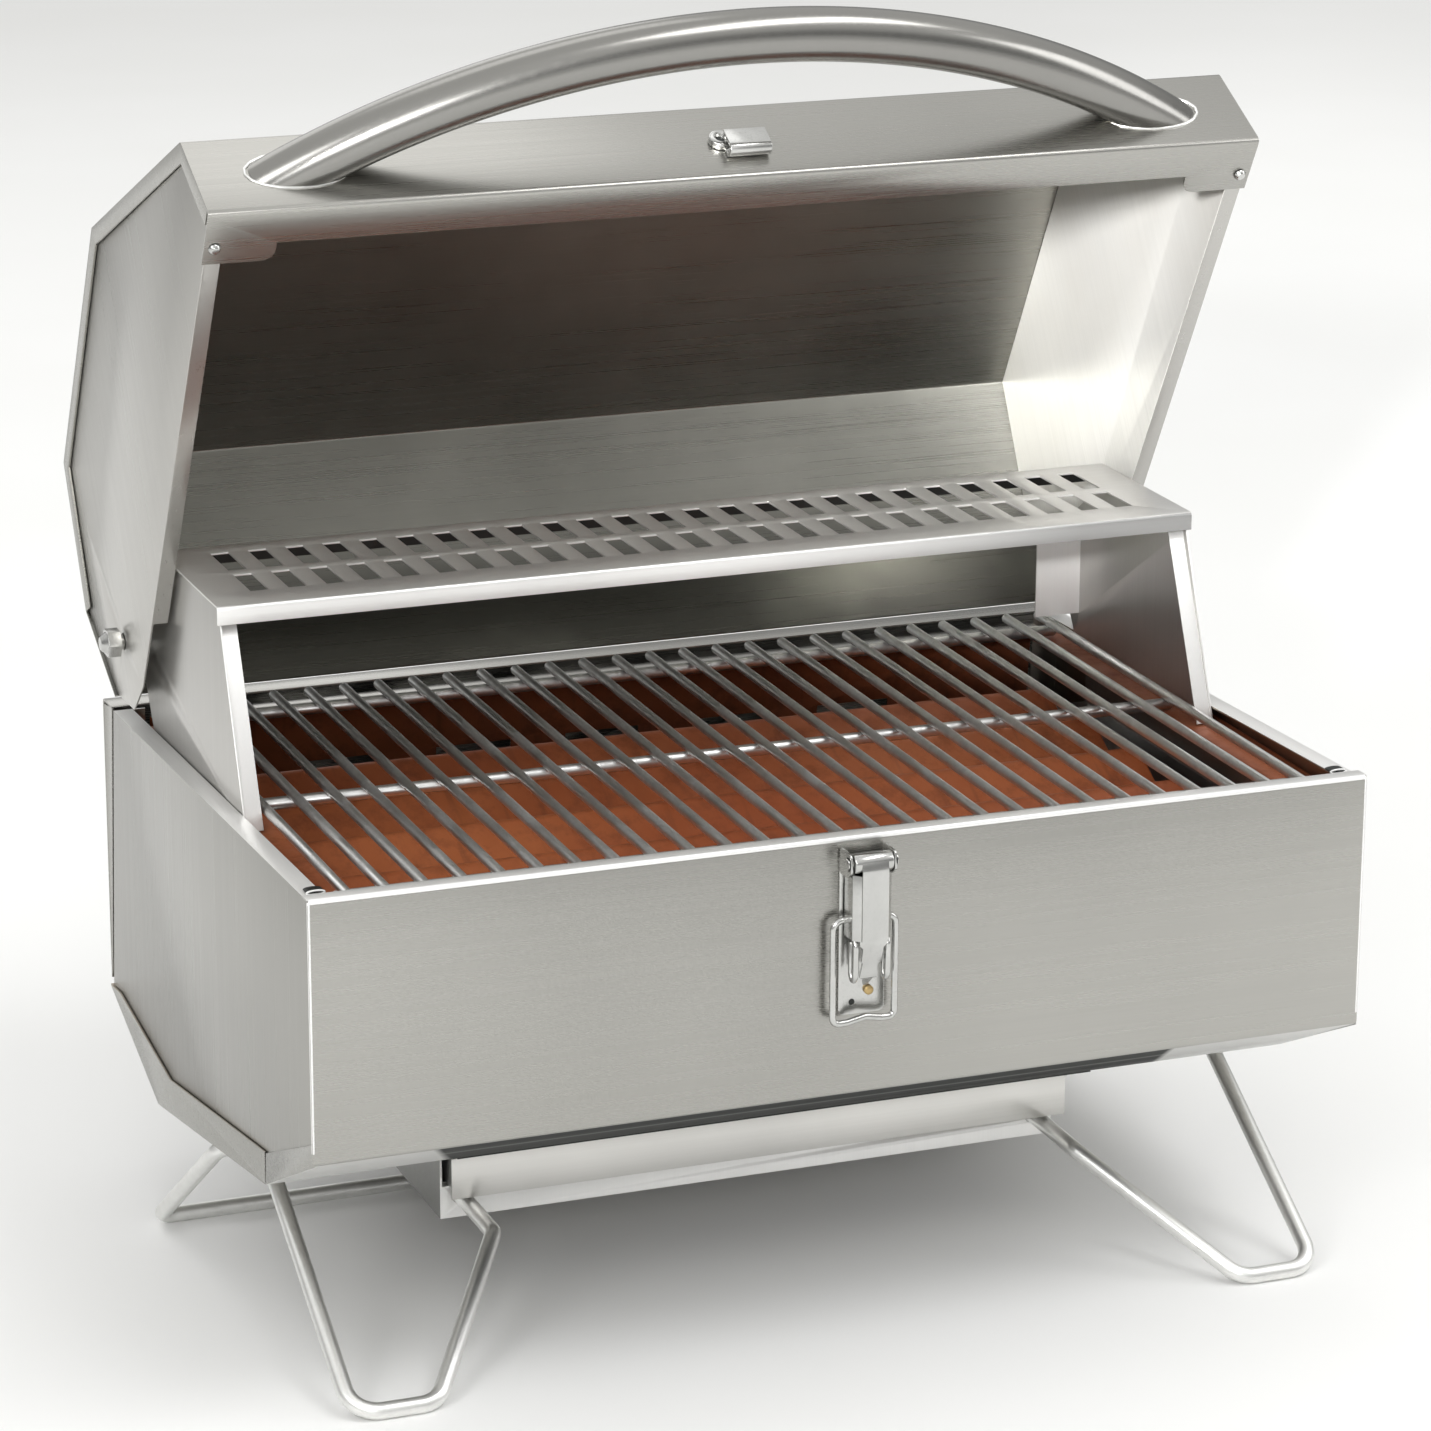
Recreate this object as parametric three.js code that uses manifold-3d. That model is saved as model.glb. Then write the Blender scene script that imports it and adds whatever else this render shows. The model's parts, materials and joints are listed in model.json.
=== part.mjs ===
// Folding camp grill: a stainless steel table-top gas grill with a hinged lid, a warming rack, a lift-out
// grate, a draw latch, a slide-out drip tray and three fold-away wire legs. Millimetres, +Z up. The front
// faces -Y. The lid stands open, and every other moving piece is where it is while the grill is in use.
import * as THREE from "three";
import { mergeVertices } from "three/addons/utils/BufferGeometryUtils.js";
import Module from "manifold-3d";

const wasm = await Module();
wasm.setup();

// ---- driving dimensions -------------------------------------------------------------------------------
// The grill is drawn with X = 0 on its mid-plane, Y = 0 at the tub's front face and Z = 0 under its feet.
const HALF_WIDTH = 260; // outer faces of the flanges that lap the side plates
const SHEET = 1; // stainless sheet
const GAP = 0.3; // clearance between pieces that touch
const BEND = 2.5; // outer radius of a sheet bend
const SIDE_FACE = HALF_WIDTH - SHEET - GAP; // outer face of the side plates
const SIDE_INNER = SIDE_FACE - SHEET;
const SIDE_INSET = SHEET + 0.6; // from the outer skin to the side plates' edges

// Tub outline in the YZ plane, from the front top edge down and round to the rear top edge.
const TUB_TOP = 252;
const TUB_SLOPE = 0.03; // the rim falls this much per millimetre to the rear
const TUB_FRONT_BOTTOM = 127;
const TUB_CHAMFER = [78, 88.5];
const TUB_LOWEST = [270.5, 57];
const TUB_REAR_BOTTOM = [360, 89];
const TUB_REAR = 343;
const tubTop = (y) => TUB_TOP - TUB_SLOPE * y;
const panSlope = (TUB_CHAMFER[1] - TUB_LOWEST[1]) / (TUB_LOWEST[0] - TUB_CHAMFER[0]);
const panUnderside = (y) => TUB_CHAMFER[1] - panSlope * (y - TUB_CHAMFER[0]);

// Lid outline when it is shut, from the front bottom bend over the top to the rear edge, and the hinge.
const LID_OUTLINE = [
  [9.7, 253.7],
  [12.4, 305.1],
  [161.9, 413.5],
  [315.9, 407.8],
  [355.6, 340.9],
  [352.7, 279.3],
];
const LID_TAIL = [
  [335, 251.5],
  [310, 244.2],
];
const HINGE = [316.7, 282.8];
const LID_OPEN = THREE.MathUtils.degToRad(59);
const LID_FLANGE = 8; // rim flange along each lid side
const LID_LIP = 20; // rim flange along the front
const LID_TAB = [34, 30]; // width and depth of the lip's corner tabs

const HANDLE_RADIUS = 12.7;
const HANDLE_BORE = 11.2;
const HANDLE_SPAN = 425; // between the middles of the two feet
const HANDLE_RISE = 60.6; // apex centre above the lid's front panel

const WING_FACE = 248.6; // outer face of the side wings
const RACK_TOP = 337.8;
const RACK_FRONT = 173;
const RACK_DEPTH = 106;
const RACK_HALF = 250;
const SLOT_PITCH = 18.6;

const GRATE_Z = 246;
const GRATE_HALF = 236;
const GRATE_BARS = 27;
const GRATE_FRONT = 16;
const GRATE_REAR = 322;
const BAR_RADIUS = 2.5;

const LATCH_X = 2;
const LEVER_PIVOT = [-12, 243]; // Y, Z of the lever's barrel
const BAIL_PIVOT = [-6.5, 215];
const KEEPER_FOOT = 11.5; // height of the keeper's fold on the lid's front panel

const FRAME_HALF = 160; // outer faces of the tray frame
const FRAME_FRONT = 128;
const FRAME_REAR = 312;
const FRAME_BOTTOM = 37;
const FRAME_LIP = 53.4; // top edge of the frame's front plate
const TRAY_FRONT = 112;
const TRAY_FLOOR = 54.8;
const TRAY_FACE_TOP = 74;
const TRAY_BACK = 236;

const WIRE = 4; // leg rod radius
const FOOT_Z = 3.7; // the rods' undersides are ground flat where they stand
const FRONT_LEG_X = 149.8; // front legs' pivot rods
const FRONT_LEG_Z = 48.2;
const FRONT_FOOT_Y = 0.6;
const REAR_PIVOT = [186, 64.2];
const REAR_FOOT_Y = 256;
const REAR_LEG_LEFT = -265; // the rear foot's left and right corners
const REAR_LEG_RIGHT = 218;
const REAR_LEG_LEAN = 12.5; // how far each arm's top stands in from its foot

const BURNER_Z = 172;
const BURNER_Y = 168;
const BURNER_RADIUS = 9;
const KNOB_Z = BURNER_Z;
const IGNITER_Y = BURNER_Y + 58;
const CONTROL_FACE = HALF_WIDTH + 14; // outer face of the control plate
const INLET_X = SIDE_FACE + 7.4;

// ---- materials ----------------------------------------------------------------------------------------
const finish = (color, roughness, metalness) => () =>
  new THREE.MeshStandardMaterial({ color, roughness, metalness });
const steel = finish(0xc3c2bd, 0.34, 1);
const polished = finish(0xd6d5d1, 0.18, 1);
const shadedSteel = finish(0x8d8c88, 0.45, 1);
const rodSteel = finish(0xa9a9a6, 0.3, 1);
const heatTinted = finish(0x8a4a2c, 0.5, 0.8);
const brass = finish(0xb08a4a, 0.35, 1);
const blackPlastic = finish(0x17171a, 0.5, 0);
const ceramic = finish(0xe9e6dd, 0.4, 0);

// ---- geometry helpers ---------------------------------------------------------------------------------
const v2 = (points) => points.map(([x, y]) => new THREE.Vector2(x, y));
const v3 = (points) => points.map(([x, y, z]) => new THREE.Vector3(x, y, z));

function solidOf(geometry) {
  const bare = geometry.clone();
  bare.deleteAttribute("normal");
  bare.deleteAttribute("uv");
  const merged = mergeVertices(bare, 1e-4);
  return new wasm.Manifold(
    new wasm.Mesh({
      numProp: 3,
      vertProperties: merged.attributes.position.array,
      triVerts: new Uint32Array(merged.index.array),
    }),
  );
}

function geometryOf(solid) {
  const mesh = solid.getMesh();
  const geometry = new THREE.BufferGeometry();
  geometry.setAttribute("position", new THREE.BufferAttribute(mesh.vertProperties, 3));
  geometry.setIndex(new THREE.BufferAttribute(mesh.triVerts, 1));
  return geometry;
}

const join = (first, ...rest) =>
  geometryOf(rest.reduce((sum, piece) => sum.add(solidOf(piece)), solidOf(first)));
const cut = (body, ...tools) =>
  geometryOf(tools.reduce((left, tool) => left.subtract(solidOf(tool)), solidOf(body)));
const mirrored = (geometry) => {
  const copy = geometry.clone().applyMatrix4(new THREE.Matrix4().makeScale(-1, 1, 1));
  const index = copy.index.array;
  for (let i = 0; i < index.length; i += 3) {
    [index[i + 1], index[i + 2]] = [index[i + 2], index[i + 1]];
  }
  return copy;
};

// Replaces each inner corner of a path (2-D or 3-D vectors) with a smooth bend. The radius is one number,
// or a list with a number for each corner.
function roundCorners(points, radius, steps) {
  const path = [points[0]];
  for (let i = 1; i < points.length - 1; i++) {
    const corner = points[i];
    const toBefore = points[i - 1].clone().sub(corner);
    const toAfter = points[i + 1].clone().sub(corner);
    const turn = Math.PI - toBefore.angleTo(toAfter);
    const bend = Array.isArray(radius) ? radius[i - 1] : radius;
    const reach = bend * Math.tan(turn / 2);
    const start = corner.clone().addScaledVector(toBefore.normalize(), reach);
    const end = corner.clone().addScaledVector(toAfter.normalize(), reach);
    for (let k = 0; k <= steps; k++) {
      const t = k / steps;
      const point = start.clone().multiplyScalar((1 - t) ** 2);
      path.push(point.addScaledVector(corner, 2 * t * (1 - t)).addScaledVector(end, t * t));
    }
  }
  path.push(points.at(-1));
  return path;
}

// The path moved to the left of its direction of travel, with mitred corners.
function offsetPath(points, distance, closed = false) {
  const count = points.length;
  const at = (i) => points[(i + count) % count];
  return points.map((point, i) => {
    const last = !closed && i === count - 1;
    const first = !closed && i === 0;
    const after = (last ? point.clone().sub(at(i - 1)) : at(i + 1).clone().sub(point)).normalize();
    const before = first ? after : point.clone().sub(at(i - 1)).normalize();
    const along = before.clone().add(after).normalize();
    const stretch = distance / along.dot(before);
    return new THREE.Vector2(point.x - along.y * stretch, point.y + along.x * stretch);
  });
}

// A bent sheet's section: the path is its outer face, and the metal lies on the path's left.
function sheetSection(points, thickness = SHEET, radius = BEND) {
  const outer = roundCorners(v2(points), radius, 3);
  return [...outer, ...offsetPath(outer, thickness).reverse()];
}

// Prisms: an outline of Vector2 extruded along one axis between two stations.
function prism(outline, from, to, basis, holes = []) {
  const shape = new THREE.Shape(outline);
  shape.holes = holes.map((hole) => new THREE.Path(hole));
  const geometry = new THREE.ExtrudeGeometry(shape, { depth: to - from, bevelEnabled: false });
  geometry.translate(0, 0, from);
  return geometry.applyMatrix4(basis);
}
const X = new THREE.Vector3(1, 0, 0);
const Y = new THREE.Vector3(0, 1, 0);
const Z = new THREE.Vector3(0, 0, 1);
const ALONG_X = new THREE.Matrix4().makeBasis(Y, Z, X);
const ALONG_Y = new THREE.Matrix4().makeBasis(Z, X, Y);
const prismX = (yz, x0, x1, holes) => prism(yz, x0, x1, ALONG_X, holes);
const prismY = (zx, y0, y1, holes) => prism(zx, y0, y1, ALONG_Y, holes);

function box(x0, x1, y0, y1, z0, z1) {
  const geometry = new THREE.BoxGeometry(x1 - x0, y1 - y0, z1 - z0);
  return geometry.translate((x0 + x1) / 2, (y0 + y1) / 2, (z0 + z1) / 2);
}

// A disc or rod between two stations on an axis ("x", "y" or "z") through a centre point.
function rod(axis, centre, radius, from, to, sides = 16, endRadius = radius) {
  const geometry = new THREE.CylinderGeometry(endRadius, radius, to - from, sides);
  geometry.translate(0, (from + to) / 2, 0);
  if (axis === "x") geometry.rotateZ(-Math.PI / 2).rotateX(Math.PI / sides);
  if (axis === "z") geometry.rotateX(Math.PI / 2);
  return geometry.translate(...centre);
}

// A wire through stations: straight between them, with no extra rings on the straight stretches.
class Wire extends THREE.Curve {
  constructor(stations) {
    super();
    this.stations = stations;
  }

  getPoint(t, target = new THREE.Vector3()) {
    const place = t * (this.stations.length - 1);
    const i = Math.min(Math.floor(place), this.stations.length - 2);
    return target.lerpVectors(this.stations[i], this.stations[i + 1], place - i);
  }

  getPointAt(t, target) {
    return this.getPoint(t, target);
  }

  getTangentAt(t, target) {
    return this.getTangent(t, target);
  }
}

function circle(radius, sides) {
  return Array.from({ length: sides }, (_, i) => {
    const angle = (2 * Math.PI * i) / sides;
    return new THREE.Vector2(radius * Math.cos(angle), radius * Math.sin(angle));
  });
}

function wire(points, radius, bend, sides = 8, steps = 4) {
  const stations = roundCorners(v3(points), bend, steps);
  return new THREE.ExtrudeGeometry(new THREE.Shape(circle(radius, sides)), {
    steps: stations.length - 1,
    extrudePath: new Wire(stations),
    bevelEnabled: false,
  });
}

const grill = new THREE.Group();
function add(parent, name, material, geometry) {
  const mesh = new THREE.Mesh(geometry, material());
  mesh.name = name;
  parent.add(mesh);
}
function addPair(parent, name, material, rightGeometry) {
  const closed = rightGeometry.index ? rightGeometry : mergeVertices(rightGeometry);
  add(parent, `${name}_right`, material, rightGeometry);
  add(parent, `${name}_left`, material, mirrored(closed));
}

// ---- tub ----------------------------------------------------------------------------------------------
const TUB_FRONT = [
  [0, TUB_TOP],
  [0, TUB_FRONT_BOTTOM],
];
const TUB_OUTLINE = v2([
  ...TUB_FRONT,
  TUB_CHAMFER,
  TUB_LOWEST,
  TUB_REAR_BOTTOM,
  [TUB_REAR, tubTop(TUB_REAR)],
]);

function frontPanel() {
  const flange = 9;
  const section = [[flange, tubTop(flange)], ...TUB_FRONT, TUB_CHAMFER];
  const skin = prismX(sheetSection(section), -HALF_WIDTH, HALF_WIDTH);
  const lap = v2([[0.2, 128], [0.2, 126.4], [77.6, 89], [76.5, 104.5], [1, 137]]);
  return join(
    skin,
    prismX(lap, HALF_WIDTH - SHEET, HALF_WIDTH),
    prismX(lap, -HALF_WIDTH, SHEET - HALF_WIDTH),
  );
}

function bottomPan() {
  const start = [TUB_CHAMFER[0] + GAP + 0.3, panUnderside(TUB_CHAMFER[0] + GAP + 0.3)];
  const section = [start, TUB_LOWEST, TUB_REAR_BOTTOM];
  const skin = prismX(sheetSection(section), -HALF_WIDTH, HALF_WIDTH);
  const lap = v2([
    [start[0], start[1] + 0.4],
    [TUB_LOWEST[0], TUB_LOWEST[1] + 0.6],
    [TUB_REAR_BOTTOM[0] - 0.6, TUB_REAR_BOTTOM[1]],
    [341.6, 91],
    [246.5, 78.6],
    [start[0], 104.5],
  ]);
  const drain = rod("z", [0, 190, 0], 14, 55, 90, 20);
  const body = join(
    skin,
    prismX(lap, HALF_WIDTH - SHEET, HALF_WIDTH),
    prismX(lap, -HALF_WIDTH, SHEET - HALF_WIDTH),
  );
  return cut(body, drain);
}

function sidePlate() {
  const inset = offsetPath(TUB_OUTLINE, SIDE_INSET, true);
  const plate = prismX(inset, SIDE_INNER, SIDE_FACE);
  const [topFront, , , , rearBottom, topRear] = inset;
  const flangeWidth = 9.7;
  const top = v2([
    [topFront.x, topFront.y - SHEET],
    [topRear.x, topRear.y - SHEET],
    [topRear.x, topRear.y],
    [topFront.x, topFront.y],
  ]);
  const topFlange = prismX(top, SIDE_FACE - flangeWidth, SIDE_FACE);
  const returnWidth = 16;
  const frontReturn = box(
    SIDE_FACE - returnWidth, SIDE_FACE, topFront.x, topFront.x + SHEET, 132, topFront.y - 8,
  );
  const rear = offsetPath([rearBottom, topRear], SHEET);
  const rearReturn = prismX([rearBottom, topRear, rear[1], rear[0]], SIDE_FACE - returnWidth, SIDE_FACE);
  return join(plate, topFlange, frontReturn, rearReturn);
}

function rearPanel() {
  const inset = offsetPath(TUB_OUTLINE, 2 * (SHEET + GAP) + 0.1, true);
  const [, , , , bottom, top] = inset;
  const inward = [top.x - 11, top.y - 2.2];
  const section = sheetSection([[bottom.x, bottom.y + 1], [top.x, top.y - 2], inward], SHEET, 2);
  const half = SIDE_INNER - 17;
  const vents = [-2, -1, 0, 1, 2].map((i) => box(i * 70 - 20, i * 70 + 20, 330, 365, 196, 202));
  return cut(prismX(section, -half, half), ...vents);
}

// A shallow pan that stands off the rear wall and keeps its heat from whatever is behind the grill.
function rearShield() {
  const face = 362.6;
  const [bottom, top] = [92.5, 241];
  const section = sheetSection([[face, bottom], [face, top], [TUB_REAR + 3, top]]);
  const web = v2([
    [face - 0.5, bottom + 2],
    [face - 0.5, top - 3],
    [TUB_REAR + 2.6, top - 0.5],
    [TUB_REAR_BOTTOM[0] + 0.9, bottom + 2],
  ]);
  const shell = join(
    prismX(section, -SIDE_FACE, SIDE_FACE),
    prismX(web, SIDE_FACE - SHEET - 0.2, SIDE_FACE - 0.2),
    prismX(web, 0.2 - SIDE_FACE, 0.2 + SHEET - SIDE_FACE),
  );
  const louvres = [-2, -1, 0, 1, 2].map((i) => box(i * 78 - 24, i * 78 + 24, 355, 365, 210, 216));
  return cut(shell, ...louvres);
}

function grateLedge() {
  const face = SIDE_INNER - GAP;
  const top = GRATE_Z - 8.4;
  const section = [
    [face - 27, top],
    [face, top],
    [face, top - 16],
  ];
  const outline = roundCorners(v2(section), 2, 3);
  const angle = [...outline, ...offsetPath(outline, -1.2).reverse()].map(
    ({ x, y }) => new THREE.Vector2(y, x),
  );
  return prismY(angle, 22, 318);
}

const tub = new THREE.Group();
grill.add(tub);
add(tub, "tub_front_panel", steel, frontPanel());
add(tub, "tub_bottom_pan", steel, bottomPan());
addPair(tub, "tub_side", steel, sidePlate());
add(tub, "tub_rear_panel", steel, rearPanel());
add(tub, "rear_heat_shield", steel, rearShield());
addPair(tub, "grate_ledge", shadedSteel, grateLedge());

// ---- burner and gas train -----------------------------------------------------------------------------
function burner() {
  const half = 168;
  const depth = 62;
  const loop = [
    [20, BURNER_Y, BURNER_Z],
    [half, BURNER_Y, BURNER_Z],
    [half, BURNER_Y + depth, BURNER_Z],
    [-half, BURNER_Y + depth, BURNER_Z],
    [-half, BURNER_Y - depth, BURNER_Z],
    [half, BURNER_Y - depth, BURNER_Z],
    [half, BURNER_Y - 14, BURNER_Z],
  ];
  const stub = rod("x", [0, BURNER_Y, BURNER_Z], BURNER_RADIUS, half - 6, SIDE_INNER - 3, 14);
  return join(wire(loop, BURNER_RADIUS, 24, 10, 5), stub);
}

function heatPlate() {
  const half = 222;
  const ridges = 5;
  const [front, rear] = [34, 306];
  const pitch = (rear - front) / ridges;
  const wave = [];
  for (let i = 0; i < ridges; i++) {
    const y = front + i * pitch;
    wave.push([y, 204], [y + pitch / 2, 219]);
  }
  wave.push([rear, 204]);
  return prismX(sheetSection(wave, 1.2, 6), -half, half);
}

// Each hanger is a strip that hooks over the ledge and carries the heat plate's end.
function plateHanger() {
  const outer = SIDE_INNER - 2.2;
  const section = [
    [outer, 219],
    [outer, 201.8],
    [212, 201.8],
  ];
  const path = roundCorners(v2(section), 2, 2);
  const outline = [...path, ...offsetPath(path, -1.2).reverse()];
  return prismY(outline.map(({ x, y }) => new THREE.Vector2(y, x)), 40, 300);
}

function burnerBracket() {
  const x = 120;
  const y = BURNER_Y + 62;
  const top = BURNER_Z - BURNER_RADIUS - GAP;
  const foot = panUnderside(y) + 2.4;
  return join(
    box(x - 12, x + 12, y - 0.8, y + 0.8, foot, top),
    box(x - 12, x + 12, y - 9, y + 9, top - 1.5, top),
  );
}

function electrode() {
  const x = 214;
  const y = BURNER_Y + 22;
  const tip = [[x, y, BURNER_Z + 4], [x, y, BURNER_Z + 16], [x - 14, y - 6, BURNER_Z + 16]];
  return join(
    rod("z", [x, y, 0], 4, BURNER_Z - 22, BURNER_Z + 8, 10),
    wire(tip, 1.2, 3, 6, 3),
  );
}

function controlPlate() {
  const plate = v2([
    [BURNER_Y - 42, KNOB_Z - 34],
    [IGNITER_Y + 32, KNOB_Z - 34],
    [IGNITER_Y + 32, KNOB_Z + 34],
    [BURNER_Y - 42, KNOB_Z + 34],
  ]);
  const face = CONTROL_FACE;
  const rimWidth = 1.2;
  const inner = offsetPath(plate, rimWidth, true);
  const shell = cut(
    prismX(plate, SIDE_FACE + GAP, face),
    prismX(inner, SIDE_FACE, face - rimWidth),
    rod("x", [0, BURNER_Y, KNOB_Z], 6.5, face - 5, face + 5, 16),
    rod("x", [0, IGNITER_Y, KNOB_Z], 8.4, face - 5, face + 5, 16),
  );
  return shell;
}

function controlKnob() {
  const start = CONTROL_FACE + 1.2;
  const skirt = rod("x", [0, BURNER_Y, KNOB_Z], 22, start, start + 5, 28, 21);
  const grip = rod("x", [0, BURNER_Y, KNOB_Z], 17.5, start + 4, start + 24, 24, 15.5);
  const bar = box(start + 4, start + 27, BURNER_Y - 4.5, BURNER_Y + 4.5, KNOB_Z - 18, KNOB_Z + 18);
  return cut(
    join(skirt, grip, bar),
    rod("x", [0, BURNER_Y, KNOB_Z], 3.3, start - 1, start + 12, 12),
  );
}

function valveBody() {
  const inside = SIDE_FACE + GAP;
  const spud = rod("x", [0, BURNER_Y, KNOB_Z], 5.5, inside + 1, inside + 9, 12);
  const stem = rod("x", [0, BURNER_Y, KNOB_Z], 3, inside + 8, CONTROL_FACE + 11, 12);
  const block = box(inside + 0.6, inside + 9, BURNER_Y - 9, BURNER_Y + 9, KNOB_Z - 12, KNOB_Z + 9);
  const elbow = rod("z", [INLET_X, BURNER_Y, 0], 3.2, KNOB_Z - 33 + SHEET * 1.6, KNOB_Z - 10, 12);
  return join(spud, stem, block, elbow);
}

function gasInlet() {
  const centre = [INLET_X, BURNER_Y, 0];
  const top = KNOB_Z - 34 - GAP;
  return join(
    rod("z", centre, 6.5, top - 10, top, 6),
    rod("z", centre, 4.6, top - 26, top - 9, 16),
    rod("z", centre, 5.6, top - 31, top - 25, 16),
  );
}

function igniterBody() {
  const start = SIDE_FACE + GAP + 0.6;
  const centre = [0, IGNITER_Y, KNOB_Z];
  const barrel = rod("x", centre, 8, start, CONTROL_FACE + 3, 16);
  const collar = rod("x", centre, 11, CONTROL_FACE + GAP, CONTROL_FACE + 3, 20);
  return cut(join(barrel, collar), rod("x", centre, 6.4, start + 3, CONTROL_FACE + 9, 16));
}

function igniterButton() {
  return rod("x", [0, IGNITER_Y, KNOB_Z], 5.9, SIDE_FACE + 8, CONTROL_FACE + 8, 16, 5.5);
}

add(tub, "burner_tube", shadedSteel, burner());
add(tub, "heat_plate", heatTinted, heatPlate());
addPair(tub, "plate_hanger", shadedSteel, plateHanger());
addPair(tub, "burner_bracket", shadedSteel, burnerBracket());
add(tub, "igniter_electrode", ceramic, electrode());
add(tub, "control_plate", steel, controlPlate());
add(tub, "gas_valve", brass, valveBody());
add(tub, "gas_inlet", brass, gasInlet());
add(tub, "igniter_body", blackPlastic, igniterBody());
add(grill, "control_knob", blackPlastic, controlKnob());
add(grill, "igniter_button", blackPlastic, igniterButton());

// ---- cooking grate ------------------------------------------------------------------------------------
function grateBar(x) {
  const points = [
    [x, GRATE_FRONT, GRATE_Z - 6],
    [x, GRATE_FRONT, GRATE_Z],
    [x, GRATE_REAR, GRATE_Z],
  ];
  return wire(points, BAR_RADIUS, 3, 6, 2);
}

function cookingGrate() {
  const pitch = (2 * GRATE_HALF) / (GRATE_BARS - 1);
  const bars = Array.from({ length: GRATE_BARS }, (_, i) => grateBar(i * pitch - GRATE_HALF));
  const crossZ = GRATE_Z - BAR_RADIUS - 2.2;
  const crossBars = [30, 168, 308].map((y) =>
    rod("x", [0, y, crossZ], 3, -GRATE_HALF - 2.5, GRATE_HALF + 2.5, 6),
  );
  return join(...crossBars, ...bars);
}
add(grill, "cooking_grate", rodSteel, cookingGrate());

// ---- wings and warming rack ---------------------------------------------------------------------------
function wing() {
  const inner = WING_FACE - SHEET;
  const lobe = 12;
  const [hingeY, hingeZ] = HINGE;
  const round = [-70, -35, 0, 35, 70].map((degrees) => {
    const angle = THREE.MathUtils.degToRad(degrees);
    return [hingeY + lobe * Math.cos(angle), hingeZ + lobe * Math.sin(angle)];
  });
  const topZ = RACK_TOP - SHEET - GAP;
  const foot = 238.6;
  const topFront = RACK_FRONT + 5;
  const plateOutline = v2([[139, foot], [300, foot], ...round, [262, topZ], [topFront, topZ]]);
  const plate = prismX(plateOutline, inner, WING_FACE);
  const frontEdge = [[139, foot], [topFront, topZ - 9]];
  const run = v2(frontEdge);
  const strip = [...run, ...offsetPath(run, -SHEET).reverse()];
  const frontFlange = prismX(strip, inner - 8, WING_FACE);
  const rearFlange = box(inner - 25, WING_FACE, 296, 297, 253, 306);
  const pin = rod("x", [0, hingeY, hingeZ], 4.3, inner - 5, WING_FACE + 5, 16);
  return cut(join(plate, frontFlange, rearFlange), pin);
}

function warmingRack() {
  const rear = RACK_FRONT + RACK_DEPTH;
  const flange = 9;
  const section = sheetSection(
    [
      [rear, RACK_TOP - flange],
      [rear, RACK_TOP],
      [RACK_FRONT, RACK_TOP],
      [RACK_FRONT, RACK_TOP - flange],
    ],
    SHEET,
    2,
  );
  const deck = prismX(section, -RACK_HALF, RACK_HALF);
  const count = 25;
  const slots = [];
  for (let i = 0; i < count; i++) {
    const x = (i - (count - 1) / 2) * SLOT_PITCH;
    slots.push(box(x - 4.5, x + 4.5, RACK_FRONT + 22, RACK_FRONT + 52, RACK_TOP - 4, RACK_TOP + 2));
    slots.push(box(x - 4.5, x + 4.5, RACK_FRONT + 60, rear - 14, RACK_TOP - 4, RACK_TOP + 2));
  }
  return cut(deck, ...slots);
}
addPair(tub, "wing", steel, wing());
add(tub, "warming_rack", steel, warmingRack());

// ---- hinge bolts --------------------------------------------------------------------------------------
function hingeBolt() {
  const centre = [0, HINGE[0], HINGE[1]];
  const shank = rod("x", centre, 3.9, WING_FACE - 8, HALF_WIDTH + 3, 16);
  const head = rod("x", centre, 7.4, HALF_WIDTH + 1, HALF_WIDTH + 7.5, 6);
  const dome = rod("x", centre, 6.2, HALF_WIDTH + 7, HALF_WIDTH + 10.5, 14, 3.2);
  return join(shank, head, dome);
}

function hingeSpacer() {
  const centre = [0, HINGE[0], HINGE[1]];
  const [from, to] = [WING_FACE + GAP, SIDE_INNER - GAP];
  return cut(
    rod("x", centre, 7, from, to, 16),
    rod("x", centre, 4.2, from - 1, to + 1, 16),
  );
}

function hingeNut() {
  const centre = [0, HINGE[0], HINGE[1]];
  const to = WING_FACE - SHEET - GAP;
  return cut(
    rod("x", centre, 7.4, to - 6, to, 6),
    rod("x", centre, 4.2, to - 8, to + 1, 16),
  );
}
addPair(tub, "hinge_bolt", polished, hingeBolt());
addPair(tub, "hinge_spacer", polished, hingeSpacer());
addPair(tub, "hinge_nut", polished, hingeNut());

// ---- lid: drawn shut, in a group that turns about the hinge -------------------------------------------
const lidHinge = new THREE.Group();
lidHinge.position.set(0, ...HINGE);
lidHinge.rotation.x = -LID_OPEN;
const lid = new THREE.Group();
lid.position.set(0, -HINGE[0], -HINGE[1]);
lidHinge.add(lid);
grill.add(lidHinge);

const lidFront = new THREE.Vector2(...LID_OUTLINE[0]);
const lidFrontTop = new THREE.Vector2(...LID_OUTLINE[1]);
const panelUp = lidFrontTop.clone().sub(lidFront).normalize();
const panelOut = new THREE.Vector2(-panelUp.y, panelUp.x);
const rimBack = new THREE.Vector2(...LID_TAIL[1]).sub(lidFront).normalize();
const onPanel = (up, out) => lidFront.clone().addScaledVector(panelUp, up).addScaledVector(panelOut, out);
const onRim = (back, up) => {
  const rimUp = new THREE.Vector2(-rimBack.y, rimBack.x);
  return lidFront.clone().addScaledVector(rimBack, back).addScaledVector(rimUp, up);
};

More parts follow.
